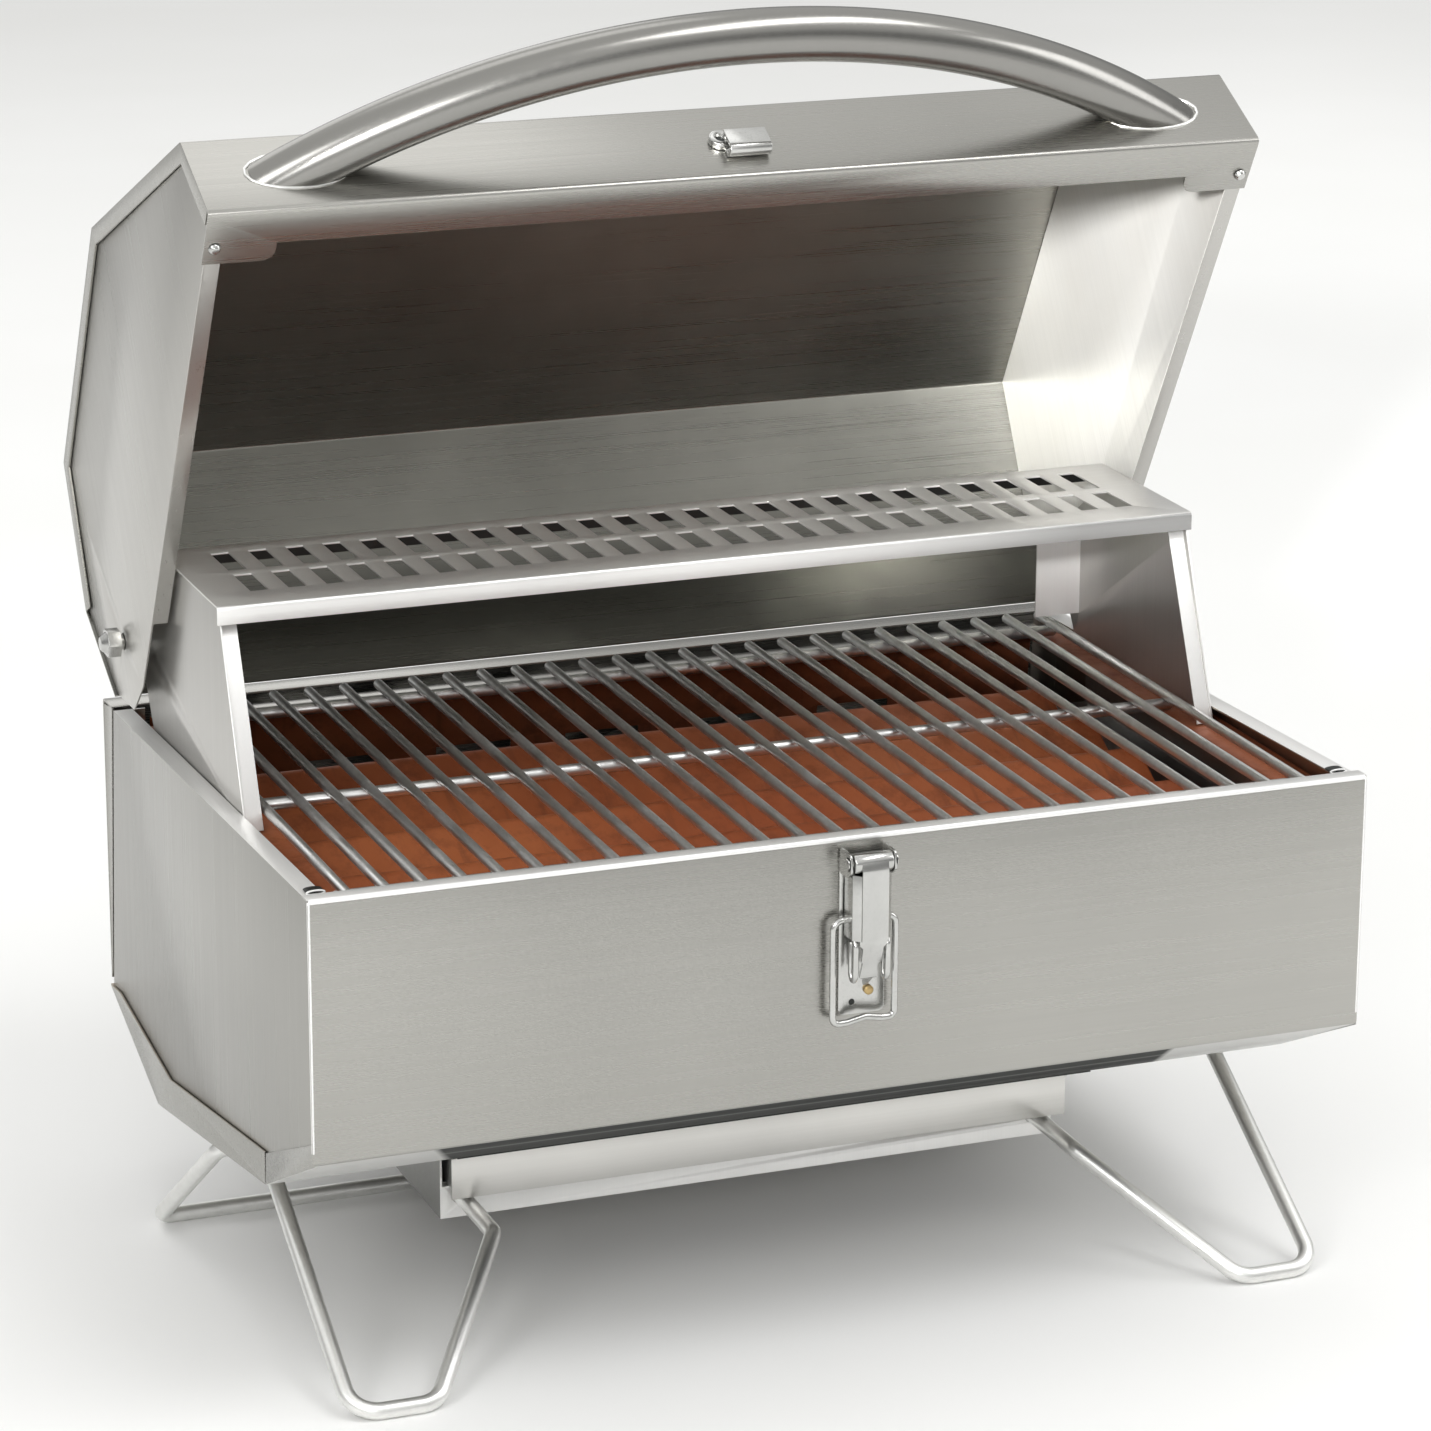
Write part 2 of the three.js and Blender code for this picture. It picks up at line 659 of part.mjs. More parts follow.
// The lip's corner tab, which laps over the side's rim flange and takes the rivet.
function lidTab() {
  const [width, depth] = LID_TAB;
  const corner = v2([[HALF_WIDTH - width, 4], [HALF_WIDTH - width, depth], [HALF_WIDTH, depth]]);
  const outline = [...roundCorners(corner, 7, 5), new THREE.Vector2(HALF_WIDTH, 4)];
  const tab = new THREE.ExtrudeGeometry(new THREE.Shape(outline), { depth: SHEET, bevelEnabled: false });
  const back = new THREE.Vector3(0, rimBack.x, rimBack.y);
  const place = new THREE.Matrix4().makeBasis(X, back, X.clone().cross(back));
  return tab.applyMatrix4(place.setPosition(0, lidFront.x, lidFront.y));
}

function lidWrap() {
  const lipEnd = onRim(LID_LIP, 0);
  const path = [...LID_OUTLINE].reverse();
  const section = sheetSection([...path, [lipEnd.x, lipEnd.y]]);
  const skin = prismX(section, -HALF_WIDTH, HALF_WIDTH);
  const seamWidth = 9;
  const outline = v2(LID_OUTLINE.slice(0, 5));
  outline[0] = onPanel(3, 0);
  const band = [...offsetPath(outline, -0.5), ...offsetPath(outline, -seamWidth).reverse()];
  const tab = lidTab();
  return join(
    skin,
    prismX(band, HALF_WIDTH - SHEET, HALF_WIDTH),
    prismX(band, -HALF_WIDTH, SHEET - HALF_WIDTH),
    tab,
    mirrored(mergeVertices(tab)),
  );
}

function lidSide() {
  const outline = v2([...LID_OUTLINE, ...LID_TAIL]).reverse();
  const inset = offsetPath(outline, SIDE_INSET, true);
  const plate = prismX(inset, SIDE_INNER, SIDE_FACE);
  const rise = SHEET + 2 * GAP;
  const flangeEnd = 298;
  const strip = [onRim(3, rise), onRim(flangeEnd - 40, rise)];
  const thick = [onRim(flangeEnd - 40, rise + SHEET), onRim(3, rise + SHEET)];
  const flange = prismX([...strip, ...thick], SIDE_FACE - LID_FLANGE, SIDE_FACE);
  const hole = rod("x", [0, HINGE[0], HINGE[1]], 4.3, SIDE_INNER - 1, SIDE_FACE + 1, 16);
  return cut(join(plate, flange), hole);
}

function lidHandle() {
  const half = HANDLE_SPAN / 2;
  const arcRadius = (half ** 2 + HANDLE_RISE ** 2) / (2 * HANDLE_RISE);
  const reach = Math.asin(half / arcRadius) + 0.035;
  const stations = Array.from({ length: 25 }, (_, i) => {
    const angle = reach * (i / 12 - 1);
    const out = arcRadius * Math.cos(angle) - (arcRadius - HANDLE_RISE);
    const point = onPanel(26, out);
    return new THREE.Vector3(arcRadius * Math.sin(angle), point.x, point.y);
  });
  const [tube, bore] = [HANDLE_RADIUS, HANDLE_BORE].map((radius) => {
    const section = new THREE.Shape(circle(radius, 16));
    const steps = stations.length - 1;
    return new THREE.ExtrudeGeometry(section, {
      steps, extrudePath: new Wire(stations), bevelEnabled: false,
    });
  });
  const behind = [onPanel(-30, GAP), onPanel(-30, -60), onPanel(90, -60), onPanel(90, GAP)];
  return cut(tube, bore, prismX(behind, -HALF_WIDTH, HALF_WIDTH));
}

// The keeper is a strip folded over at its lower end into a hook that opens upwards, with a round boss
// beside it for its screw.
function keeper() {
  const section = sheetSection(
    [[24, 8], [KEEPER_FOOT, 8], [KEEPER_FOOT, GAP], [31, GAP]], 1.6, 3.4,
  );
  const hook = section.map(({ x, y }) => onPanel(x, y));
  const middle = onPanel(25, 0);
  const boss = rod("z", [0, 0, 0], 5.8, GAP, 3.6, 16);
  boss.rotateX(Math.PI / 2 - Math.asin(panelUp.x));
  boss.translate(LATCH_X - 10.6, middle.x, middle.y);
  return join(prismX(hook, LATCH_X - 10.5, LATCH_X + 10), boss);
}

function lidRivet() {
  const place = onRim(21, -GAP);
  const head = rod("z", [0, 0, 0], 3.2, 0, 1.8, 12, 1.8);
  head.rotateX(Math.PI - Math.atan(TUB_SLOPE));
  head.translate(HALF_WIDTH - 5, place.x, place.y);
  return head;
}

add(lid, "lid_wrap", steel, lidWrap());
addPair(lid, "lid_side", steel, lidSide());
add(lid, "lid_handle", polished, lidHandle());
add(lid, "latch_keeper", polished, keeper());
addPair(lid, "lid_rivet", polished, lidRivet());

// ---- latch --------------------------------------------------------------------------------------------
function latchBase() {
  const [left, right] = [LATCH_X - 11.4, LATCH_X + 11.4];
  const plate = box(left, right, -GAP - 1.5, -GAP, 166.5, 243);
  const [pivotY, pivotZ] = LEVER_PIVOT;
  const ear = v2([
    [-GAP - 0.4, pivotZ + 5.5],
    [pivotY - 2.6, pivotZ + 4.1],
    [pivotY - 2.6, pivotZ - 3],
    [-8, pivotZ - 9.5],
    [-GAP - 0.4, pivotZ - 18.5],
  ]);
  const rightEar = prismX(ear, right - 1.2, right);
  const leftEar = prismX(ear, left, left + 1.2);
  const pin = rod("x", [0, pivotY, pivotZ], 1.9, left - 1, right + 1, 12);
  const hole = rod("y", [LATCH_X - 4.8, 0, 173.8], 1.6, -5, 3, 12);
  const seat = rod("y", [LATCH_X + 4, 0, 176.6], 1.7, -5, 3, 12);
  return cut(join(plate, rightEar, leftEar), pin, hole, seat);
}

function latchLever() {
  const half = 9.6;
  const [pivotY, pivotZ] = LEVER_PIVOT;
  const barrel = rod("x", [0, pivotY, pivotZ], 4.4, LATCH_X - half, LATCH_X + half, 16);
  const face = box(LATCH_X - half, LATCH_X + half, -16.2, -14.9, 208, pivotZ);
  const cheek = v2([
    [-16.2, 208],
    [-16.2, pivotZ - 8.5],
    [-12, pivotZ - 4.3],
    [-4.2, 226],
    [-3.4, 212],
    [-6, 206.5],
    [-11, 206.5],
  ]);
  const cheeks = [
    prismX(cheek, LATCH_X - half, LATCH_X - half + 1.2),
    prismX(cheek, LATCH_X + half - 1.2, LATCH_X + half),
  ];
  const tongueSection = sheetSection(
    [[-16.2, 210], [-16.2, 203], [-12.2, 194], [-9.6, 184]], 1.3, 4,
  );
  const tongue = prismX(tongueSection, LATCH_X - 4.5, LATCH_X + 4.5);
  const pin = rod("x", [0, pivotY, pivotZ], 2.1, LATCH_X - half - 1, LATCH_X + half + 1, 12);
  const bailHole = rod("x", [0, ...BAIL_PIVOT], 1.8, LATCH_X - half - 1, LATCH_X + half + 1, 10);
  return cut(join(barrel, face, ...cheeks, tongue), pin, bailHole);
}

function latchBail() {
  const [pivotY, pivotZ] = BAIL_PIVOT;
  const [inside, left, right, foot] = [7, LATCH_X - 16.2, LATCH_X + 14.4, 164.8];
  const points = [
    [LATCH_X - inside, pivotY, pivotZ],
    [left, pivotY, pivotZ],
    [left, pivotY, foot],
    [right, pivotY, foot],
    [right, pivotY, pivotZ],
    [LATCH_X + inside, pivotY, pivotZ],
  ];
  return wire(points, 1.3, 4.4, 8, 4);
}

function latchPin() {
  const centre = [0, ...LEVER_PIVOT];
  const end = 11.8;
  return join(
    rod("x", centre, 1.7, LATCH_X - end, LATCH_X + end, 12),
    rod("x", centre, 2.7, LATCH_X - end - 0.8, LATCH_X - end + GAP, 12),
    rod("x", centre, 2.7, LATCH_X + end - GAP, LATCH_X + end + 0.8, 12),
  );
}

function latchRivet() {
  const centre = [LATCH_X + 4, 0, 176.6];
  return rod("y", centre, 2.8, -3.6, -GAP - 1.5 - GAP, 12, 2.8);
}

add(tub, "latch_base", polished, latchBase());
add(tub, "latch_pin", polished, latchPin());
add(tub, "latch_rivet", brass, latchRivet());
add(grill, "latch_lever", polished, latchLever());
add(grill, "latch_bail", polished, latchBail());

// ---- drip tray and the frame it runs in ---------------------------------------------------------------
// A vertical plate under the pan, from the frame's bottom edge up to the pan's sloping underside.
const underPan = (y) => panUnderside(y) - GAP - 0.2;

function frameSide(outerFace, thickness) {
  const outline = v2([
    [FRAME_FRONT, FRAME_BOTTOM],
    [FRAME_REAR - 2, FRAME_BOTTOM],
    [FRAME_REAR - 2, 70.4],
    [TUB_LOWEST[0], underPan(TUB_LOWEST[0]) - 0.2],
    [FRAME_FRONT, underPan(FRAME_FRONT)],
  ]);
  const innerFace = outerFace - thickness;
  return prismX(outline, Math.min(innerFace, outerFace), Math.max(innerFace, outerFace));
}

// One bent sheet: the front plate, both side plates and, welded on top of each side, a flange to the pan.
function trayFrame() {
  const front = box(
    -FRAME_HALF, FRAME_HALF, FRAME_FRONT, FRAME_FRONT + SHEET, FRAME_BOTTOM, FRAME_LIP,
  );
  const flange = v2([
    [FRAME_FRONT + 2, underPan(FRAME_FRONT + 2) - SHEET],
    [262, underPan(262) - SHEET],
    [262, underPan(262)],
    [FRAME_FRONT + 2, underPan(FRAME_FRONT + 2)],
  ]);
  const tie = box(-FRAME_HALF, FRAME_HALF, FRAME_REAR - 3, FRAME_REAR - 2, FRAME_BOTTOM, 60);
  const holes = [-1, 1].map((s) =>
    rod("y", [s * FRONT_LEG_X, 0, FRONT_LEG_Z], WIRE + 0.5, FRAME_FRONT - 3, FRAME_FRONT + 4, 16),
  );
  return cut(
    join(
      front,
      frameSide(FRAME_HALF, SHEET),
      frameSide(-FRAME_HALF, -SHEET),
      tie,
      prismX(flange, FRAME_HALF - 0.5, FRAME_HALF + 12),
      prismX(flange, -FRAME_HALF - 12, 0.5 - FRAME_HALF),
    ),
    ...holes,
  );
}

// The cross plate behind the front plate carries the far ends of the front legs' pivot rods.
function pivotPlate() {
  const y = 186;
  const half = FRAME_HALF - SHEET - GAP;
  const plate = box(-half, half, y, y + SHEET, FRAME_BOTTOM, TRAY_FLOOR - 1.2);
  const shelf = box(-half, half, y, y + 12, FRAME_BOTTOM, FRAME_BOTTOM + SHEET);
  const holes = [-1, 1].map((s) =>
    rod("y", [s * FRONT_LEG_X, 0, FRONT_LEG_Z], WIRE + 0.5, y - 3, y + 4, 16),
  );
  return cut(join(plate, shelf), ...holes);
}

function trayRail() {
  const face = FRAME_HALF - SHEET - GAP;
  const top = TRAY_FLOOR - GAP;
  const foot = box(face - 7, face, FRAME_FRONT + 3, 183, top - SHEET, top);
  const webPlate = box(face - SHEET, face, FRAME_FRONT + 3, 183, top - 7, top + 7);
  return join(foot, webPlate);
}

function dripTray() {
  const half = FRAME_HALF - 3.4;
  const wall = v2([
    [TRAY_FRONT, TRAY_FLOOR],
    [TRAY_BACK, TRAY_FLOOR],
    [TRAY_BACK, underPan(TRAY_BACK) - 2],
    [TRAY_FRONT, underPan(TRAY_FRONT) - 7],
  ]);
  const tall = underPan(TRAY_BACK) - 2;
  return join(
    box(-FRAME_HALF + 0.6, FRAME_HALF - 0.6, TRAY_FRONT - SHEET, TRAY_FRONT, 53.4, TRAY_FACE_TOP),
    box(-half, half, TRAY_FRONT - 0.5, TRAY_BACK, TRAY_FLOOR, TRAY_FLOOR + 0.8),
    prismX(wall, half - 0.8, half),
    prismX(wall, -half, 0.8 - half),
    box(-half, half, TRAY_BACK - 0.8, TRAY_BACK, TRAY_FLOOR, tall),
  );
}

// A thin hooked strip under the pan that shields the gap above the tray's face.
function trayVisor() {
  const top = panUnderside(108) - GAP - 0.3;
  const section = sheetSection(
    [[118, panUnderside(118) - GAP - 0.3], [106.5, top], [106.5, top - 7.4]], SHEET, 1.5,
  );
  return prismX(section, -FRAME_HALF + 2, FRAME_HALF + 11);
}

add(tub, "tray_frame", steel, trayFrame());
add(tub, "leg_pivot_plate", steel, pivotPlate());
addPair(tub, "tray_rail", shadedSteel, trayRail());
add(tub, "tray_visor", shadedSteel, trayVisor());
add(grill, "drip_tray", steel, dripTray());

// ---- legs ---------------------------------------------------------------------------------------------
const floorCut = () => box(-400, 400, -100, 500, -20, 0);

function frontLeg() {
  const points = [
    [244, 123, 76],
    [243.4, FRONT_FOOT_Y, FOOT_Z],
    [203, FRONT_FOOT_Y, FOOT_Z],
    [FRONT_LEG_X, 78.5, FRONT_LEG_Z],
    [FRONT_LEG_X, 196, FRONT_LEG_Z],
  ];
  return cut(wire(points, WIRE, [14, 14, 7], 10, 4), floorCut());
}

function rearLeg() {
  const [pivotY, pivotZ] = REAR_PIVOT;
  const leftArm = REAR_LEG_LEFT + REAR_LEG_LEAN;
  const rightArm = REAR_LEG_RIGHT - REAR_LEG_LEAN;
  const points = [
    [rightArm - 26.5, pivotY, pivotZ],
    [rightArm, pivotY, pivotZ],
    [REAR_LEG_RIGHT, REAR_FOOT_Y, FOOT_Z],
    [REAR_LEG_LEFT, REAR_FOOT_Y, FOOT_Z],
    [leftArm, pivotY, pivotZ],
    [leftArm + 26.5, pivotY, pivotZ],
  ];
  return cut(wire(points, WIRE, 6, 10, 4), floorCut());
}

// A folded clip under the pan that holds one end of the rear leg, between two stations along X.
function rearLegClip(inner, outer) {
  const [pivotY, pivotZ] = REAR_PIVOT;
  const strap = circle(WIRE + 1.9, 16).map((p) => p.add(new THREE.Vector2(pivotY, pivotZ)));
  const bore = rod("x", [0, pivotY, pivotZ], WIRE + 0.4, inner - 8, outer + 6, 16);
  const pad = v2([
    [pivotY - 16, underPan(pivotY - 16) - 1.2],
    [pivotY + 16, underPan(pivotY + 16) - 1.2],
    [pivotY + 16, underPan(pivotY + 16)],
    [pivotY - 16, underPan(pivotY - 16)],
  ]);
  const trim = v2([
    [pivotY - 30, underPan(pivotY - 30)],
    [pivotY + 30, underPan(pivotY + 30)],
    [pivotY + 30, 100],
    [pivotY - 30, 100],
  ]);
  const strip = join(prismX(strap, inner, outer), prismX(pad, inner, outer));
  return cut(strip, bore, prismX(trim, inner - 20, outer + 16));
}

addPair(grill, "front_leg", rodSteel, frontLeg());
add(grill, "rear_leg", rodSteel, rearLeg());
add(tub, "rear_leg_clip_left", steel, rearLegClip(-244, -228));
add(tub, "rear_leg_clip_right", steel, rearLegClip(181, 197));

// ---- origin: bottom centre of the whole grill's box ---------------------------------------------------
const bounds = new THREE.Box3().setFromObject(grill, true);
const middle = bounds.getCenter(new THREE.Vector3());
grill.position.set(-middle.x, -middle.y, -bounds.min.z);

export default grill;
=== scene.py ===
"""Folding camp grill: the visual model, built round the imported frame.

Sizes are in millimetres and are placed with at(), which turns them into the frame's metres. The design's
own zero is the tub's mid-plane (X), its front face (Y) and the surface that the grill stands on (Z).
"""
import json
import math

import bmesh
import bpy
from mathutils import Matrix, Vector


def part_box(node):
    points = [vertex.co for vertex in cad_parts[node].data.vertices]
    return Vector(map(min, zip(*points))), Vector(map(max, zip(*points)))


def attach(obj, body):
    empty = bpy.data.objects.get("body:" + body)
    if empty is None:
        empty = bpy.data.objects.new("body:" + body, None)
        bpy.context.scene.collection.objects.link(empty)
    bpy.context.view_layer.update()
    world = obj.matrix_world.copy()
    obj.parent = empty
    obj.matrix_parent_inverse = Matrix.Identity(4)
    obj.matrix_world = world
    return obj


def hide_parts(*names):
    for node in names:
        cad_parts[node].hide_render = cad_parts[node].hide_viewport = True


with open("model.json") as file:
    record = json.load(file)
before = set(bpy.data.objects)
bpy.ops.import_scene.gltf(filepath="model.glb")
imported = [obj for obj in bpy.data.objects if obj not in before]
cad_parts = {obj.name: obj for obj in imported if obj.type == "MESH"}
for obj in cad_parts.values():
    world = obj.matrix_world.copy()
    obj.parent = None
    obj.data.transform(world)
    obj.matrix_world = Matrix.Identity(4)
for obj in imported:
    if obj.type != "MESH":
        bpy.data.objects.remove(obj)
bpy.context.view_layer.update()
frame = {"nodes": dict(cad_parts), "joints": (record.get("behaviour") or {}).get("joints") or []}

MM = 0.001

FRONT_LOW, FRONT_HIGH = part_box("tub_front_panel")
ORIGIN = Vector(((FRONT_LOW.x + FRONT_HIGH.x) / 2, FRONT_LOW.y, 0))
HALF_WIDTH = (FRONT_HIGH.x - FRONT_LOW.x) / 2 / MM
JOINTS = {joint["name"]: joint for joint in frame["joints"]}


def at(x, y, z):
    """A point of the design, in metres in the row frame."""
    return ORIGIN + Vector((x, y, z)) * MM


def design(point):
    """A point of the row frame, in the design's millimetres."""
    return (Vector(point) - ORIGIN) / MM


HINGE = design(JOINTS["lid_hinge"]["pos_m"])
LID_OPEN = math.radians(JOINTS["lid_hinge"]["range_deg"][1])


def lid_at(x, y, z):
    """A point that is drawn with the lid shut, carried to where the open lid holds it."""
    swung = Matrix.Rotation(-LID_OPEN, 3, "X") @ (Vector((0, y, z)) - Vector((0, HINGE.y, HINGE.z)))
    return at(x, HINGE.y + swung.y, HINGE.z + swung.z)


# ---- camera -------------------------------------------------------------------------------------------
def make_camera():
    """The eye stands to the front left and a little above the open lid, and looks down at the grill."""
    eye = at(-847, -2021.2, 984.6)
    yaw, pitch, roll = math.radians(21.042), math.radians(17.148), math.radians(0.245)
    data = bpy.data.cameras.new("camera")
    data.sensor_width = 36
    data.lens = 127.98
    data.clip_end = 60
    camera = bpy.data.objects.new("camera", data)
    bpy.context.scene.collection.objects.link(camera)
    ahead = Vector((math.sin(yaw) * math.cos(pitch), math.cos(yaw) * math.cos(pitch), -math.sin(pitch)))
    level = Vector((math.cos(yaw), -math.sin(yaw), 0))
    right = Matrix.Rotation(-roll, 3, ahead) @ level
    up = right.cross(ahead)
    turn = Matrix((right, up, -ahead)).transposed()
    camera.matrix_world = Matrix.Translation(eye) @ turn.to_4x4()
    bpy.context.scene.camera = camera


make_camera()


# ---- materials ----------------------------------------------------------------------------------------
# The Mix node names its number, vector and colour sockets alike, so its colour sockets go by their index.
MIX_COLOR_A, MIX_COLOR_B, MIX_COLOR_OUT = 6, 7, 2


class Finish:
    """A Principled material, built up node by node."""

    def __init__(self, name, **settings):
        self.material = bpy.data.materials.new(name)
        self.material.use_nodes = True
        self.tree = self.material.node_tree
        self.shader = self.tree.nodes["Principled BSDF"]
        for socket, value in settings.items():
            self.shader.inputs[socket.replace("_", " ")].default_value = value

    def node(self, kind, inputs, **settings):
        """A new node. Each input is a socket to link from, or a value to set."""
        made = self.tree.nodes.new("ShaderNode" + kind)
        for key, value in settings.items():
            setattr(made, key, value)
        for key, value in inputs.items():
            if isinstance(value, bpy.types.NodeSocket):
                self.tree.links.new(value, made.inputs[key])
            else:
                made.inputs[key].default_value = value
        return made

    def place(self, stretch=(1, 1, 1), turn=(0, 0, 0)):
        """Object coordinates, turned and then scaled by so many per metre along each axis."""
        source = self.node("TexCoord", {}).outputs["Object"]
        rotated = self.node("Mapping", {"Vector": source, "Rotation": turn}).outputs["Vector"]
        return self.node("Mapping", {"Vector": rotated, "Scale": stretch}).outputs["Vector"]

    def coordinate(self, axis):
        """The object coordinate along "X", "Y" or "Z", in metres."""
        return self.node("SeparateXYZ", {"Vector": self.place()}).outputs[axis]

    def noise(self, vector, scale, detail, rough):
        inputs = {"Vector": vector, "Scale": scale, "Detail": detail, "Roughness": rough}
        return self.node("TexNoise", inputs).outputs["Fac"]

    def span(self, value, low, high, start=0.0, end=1.0):
        """The value's stretch from start to end, carried to low..high."""
        inputs = {"Value": value, "From Min": start, "From Max": end, "To Min": low, "To Max": high}
        return self.node("MapRange", inputs).outputs["Result"]

    def math(self, operation, a, b):
        return self.node("Math", {0: a, 1: b}, operation=operation).outputs["Value"]

    def blend(self, factor, a, b):
        """Colour a where the factor is 0, turning into colour b where it is 1."""
        made = self.node("Mix", {"Factor": factor}, data_type="RGBA")
        for index, value in ((MIX_COLOR_A, a), (MIX_COLOR_B, b)):
            if isinstance(value, bpy.types.NodeSocket):
                self.tree.links.new(value, made.inputs[index])
            else:
                made.inputs[index].default_value = (*value, 1)
        return made.outputs[MIX_COLOR_OUT]

    def give(self, socket, value):
        self.tree.links.new(value, self.shader.inputs[socket])

    def bump(self, height, strength, depth_mm):
        inputs = {"Height": height, "Strength": strength, "Distance": depth_mm * MM}
        self.give("Normal", self.node("Bump", inputs).outputs["Normal"])


def times(color, share):
    """The colour, with each channel multiplied by a share."""
    return [c * share for c in color]


def brushed(name, color, rough, along, turn=(0, 0, 0), cloud=0.06, grain_depth=0.006, grain_tone=0.12,
            tint=None, metallic=1.0, cloud_size=7.0, shaded_below_mm=None, fading_mm=None):
    """Brushed sheet: scratches along one axis, slow tonal clouds and, where asked, heat tint.

    shaded_below_mm is a pair of heights (Z) between which painted shade, the shade below the warming rack,
    thins out upwards, and fading_mm a pair of places (X) between which painted shade closes in.
    """
    finish = Finish(name, Metallic=metallic)

    def scratches(across_per_m, along_per_m, detail):
        stretch = [across_per_m] * 3
        stretch[along] = along_per_m
        return finish.noise(finish.place(stretch, turn), 1.0, detail, 0.6)

    fine, broad = scratches(1500, 5, 2.0), scratches(240, 1.5, 3.0)
    clouds = finish.noise(finish.place(), cloud_size, 3.0, 0.5)
    grain = finish.math("ADD", finish.math("MULTIPLY", fine, 0.6), finish.math("MULTIPLY", broad, 0.4))
    dark, light = times(color, 1 - cloud), [min(1, c * (1 + cloud)) for c in color]
    tone = finish.blend(finish.span(clouds, 0, 1, 0.3, 0.7), dark, light)
    tone = finish.blend(finish.span(grain, 0, grain_tone, 0.35, 0.65), tone, times(color, 0.78))
    # Painted shade: strongest low down, gone above the upper height.
    if shaded_below_mm:
        low, high = (at(0, 0, z).z for z in shaded_below_mm)
        painted_shade = finish.span(finish.coordinate("Z"), 0.85, 0, low, high)
        tone = finish.blend(painted_shade, tone, times(color, 0.15))
    # Painted shade closing in along X.
    if fading_mm:
        start, end = (at(x, 0, 0).x for x in fading_mm)
        fade = finish.span(finish.coordinate("X"), 0, 0.8, start, end)
        tone = finish.blend(fade, tone, times(color, 0.2))
    if tint:
        heat = finish.noise(finish.place(), 4.5, 4.0, 0.6)
        tone = finish.blend(finish.span(heat, 0, 0.8, 0.42, 0.68), tone, tint)
    finish.give("Base Color", tone)
    uneven = finish.math("ADD", finish.span(grain, -0.03, 0.05, 0.3, 0.7), finish.span(clouds, -0.02, 0.04))
    finish.give("Roughness", finish.math("ADD", uneven, rough))
    finish.bump(grain, 0.3, grain_depth)
    return finish.material


def bright_metal(name, color, rough, speck=60.0):
    """Stamped or plated metal: soft tonal drift, small scuffs and an uneven polish."""
    finish = Finish(name, Metallic=1.0)
    drift = finish.noise(finish.place(), speck, 4.0, 0.6)
    scuff = finish.noise(finish.place((900, 900, 900)), 1.0, 2.0, 0.7)
    tone = finish.blend(finish.span(drift, 0, 1, 0.3, 0.7), times(color, 0.86), color)
    tone = finish.blend(finish.span(scuff, 0, 0.4, 0.58, 0.75), tone, times(color, 0.6))
    finish.give("Base Color", tone)
    uneven = finish.span(drift, -0.04, 0.06)
    finish.give("Roughness", finish.math("ADD", uneven, finish.span(scuff, rough, rough + 0.1)))
    finish.bump(finish.math("ADD", drift, finish.math("MULTIPLY", scuff, 0.2)), 0.2, 0.04)
    return finish.material


def rod_steel(name, color, rough, soot=0.0):
    """Drawn rod: fine lines and, on the grate, darker baked-on patches."""
    finish = Finish(name, Metallic=1.0)
    drawn = finish.noise(finish.place((160, 160, 160)), 1.0, 3.0, 0.65)
    patches = finish.noise(finish.place(), 34.0, 5.0, 0.65)
    tone = finish.blend(finish.span(drawn, 0, 0.4, 0.3, 0.7), color, times(color, 0.78))
    if soot:
        tone = finish.blend(finish.span(patches, 0, soot, 0.46, 0.66), tone, (0.05, 0.042, 0.036))
    finish.give("Base Color", tone)
    rise = finish.span(patches, 0, 0.25 if soot else 0.05, 0.45, 0.7)
    finish.give("Roughness", finish.math("ADD", rise, finish.span(drawn, rough - 0.04, rough + 0.07)))
    finish.bump(drawn, 0.15, 0.02)
    return finish.material


def heat_stained(name, light, dark):
    """Stainless tinted orange-brown by heat, with soot spots and a few grease runs."""
    finish = Finish(name, Metallic=0.3)
    broad = finish.noise(finish.place(), 6.0, 4.0, 0.6)
    fine = finish.noise(finish.place((60, 60, 60)), 1.0, 5.0, 0.7)
    runs = finish.noise(finish.place((90, 9, 9)), 1.0, 3.0, 0.6)
    tone = finish.blend(finish.span(broad, 0, 1, 0.35, 0.65), dark, light)
    tone = finish.blend(finish.span(fine, 0, 0.6, 0.5, 0.75), tone, times(dark, 0.3))
    tone = finish.blend(finish.span(runs, 0, 0.45, 0.6, 0.75), tone, (0.045, 0.02, 0.012))
    finish.give("Base Color", tone)
    finish.give("Roughness", finish.span(fine, 0.38, 0.62, 0.3, 0.7))
    finish.bump(fine, 0.3, 0.1)
    return finish.material


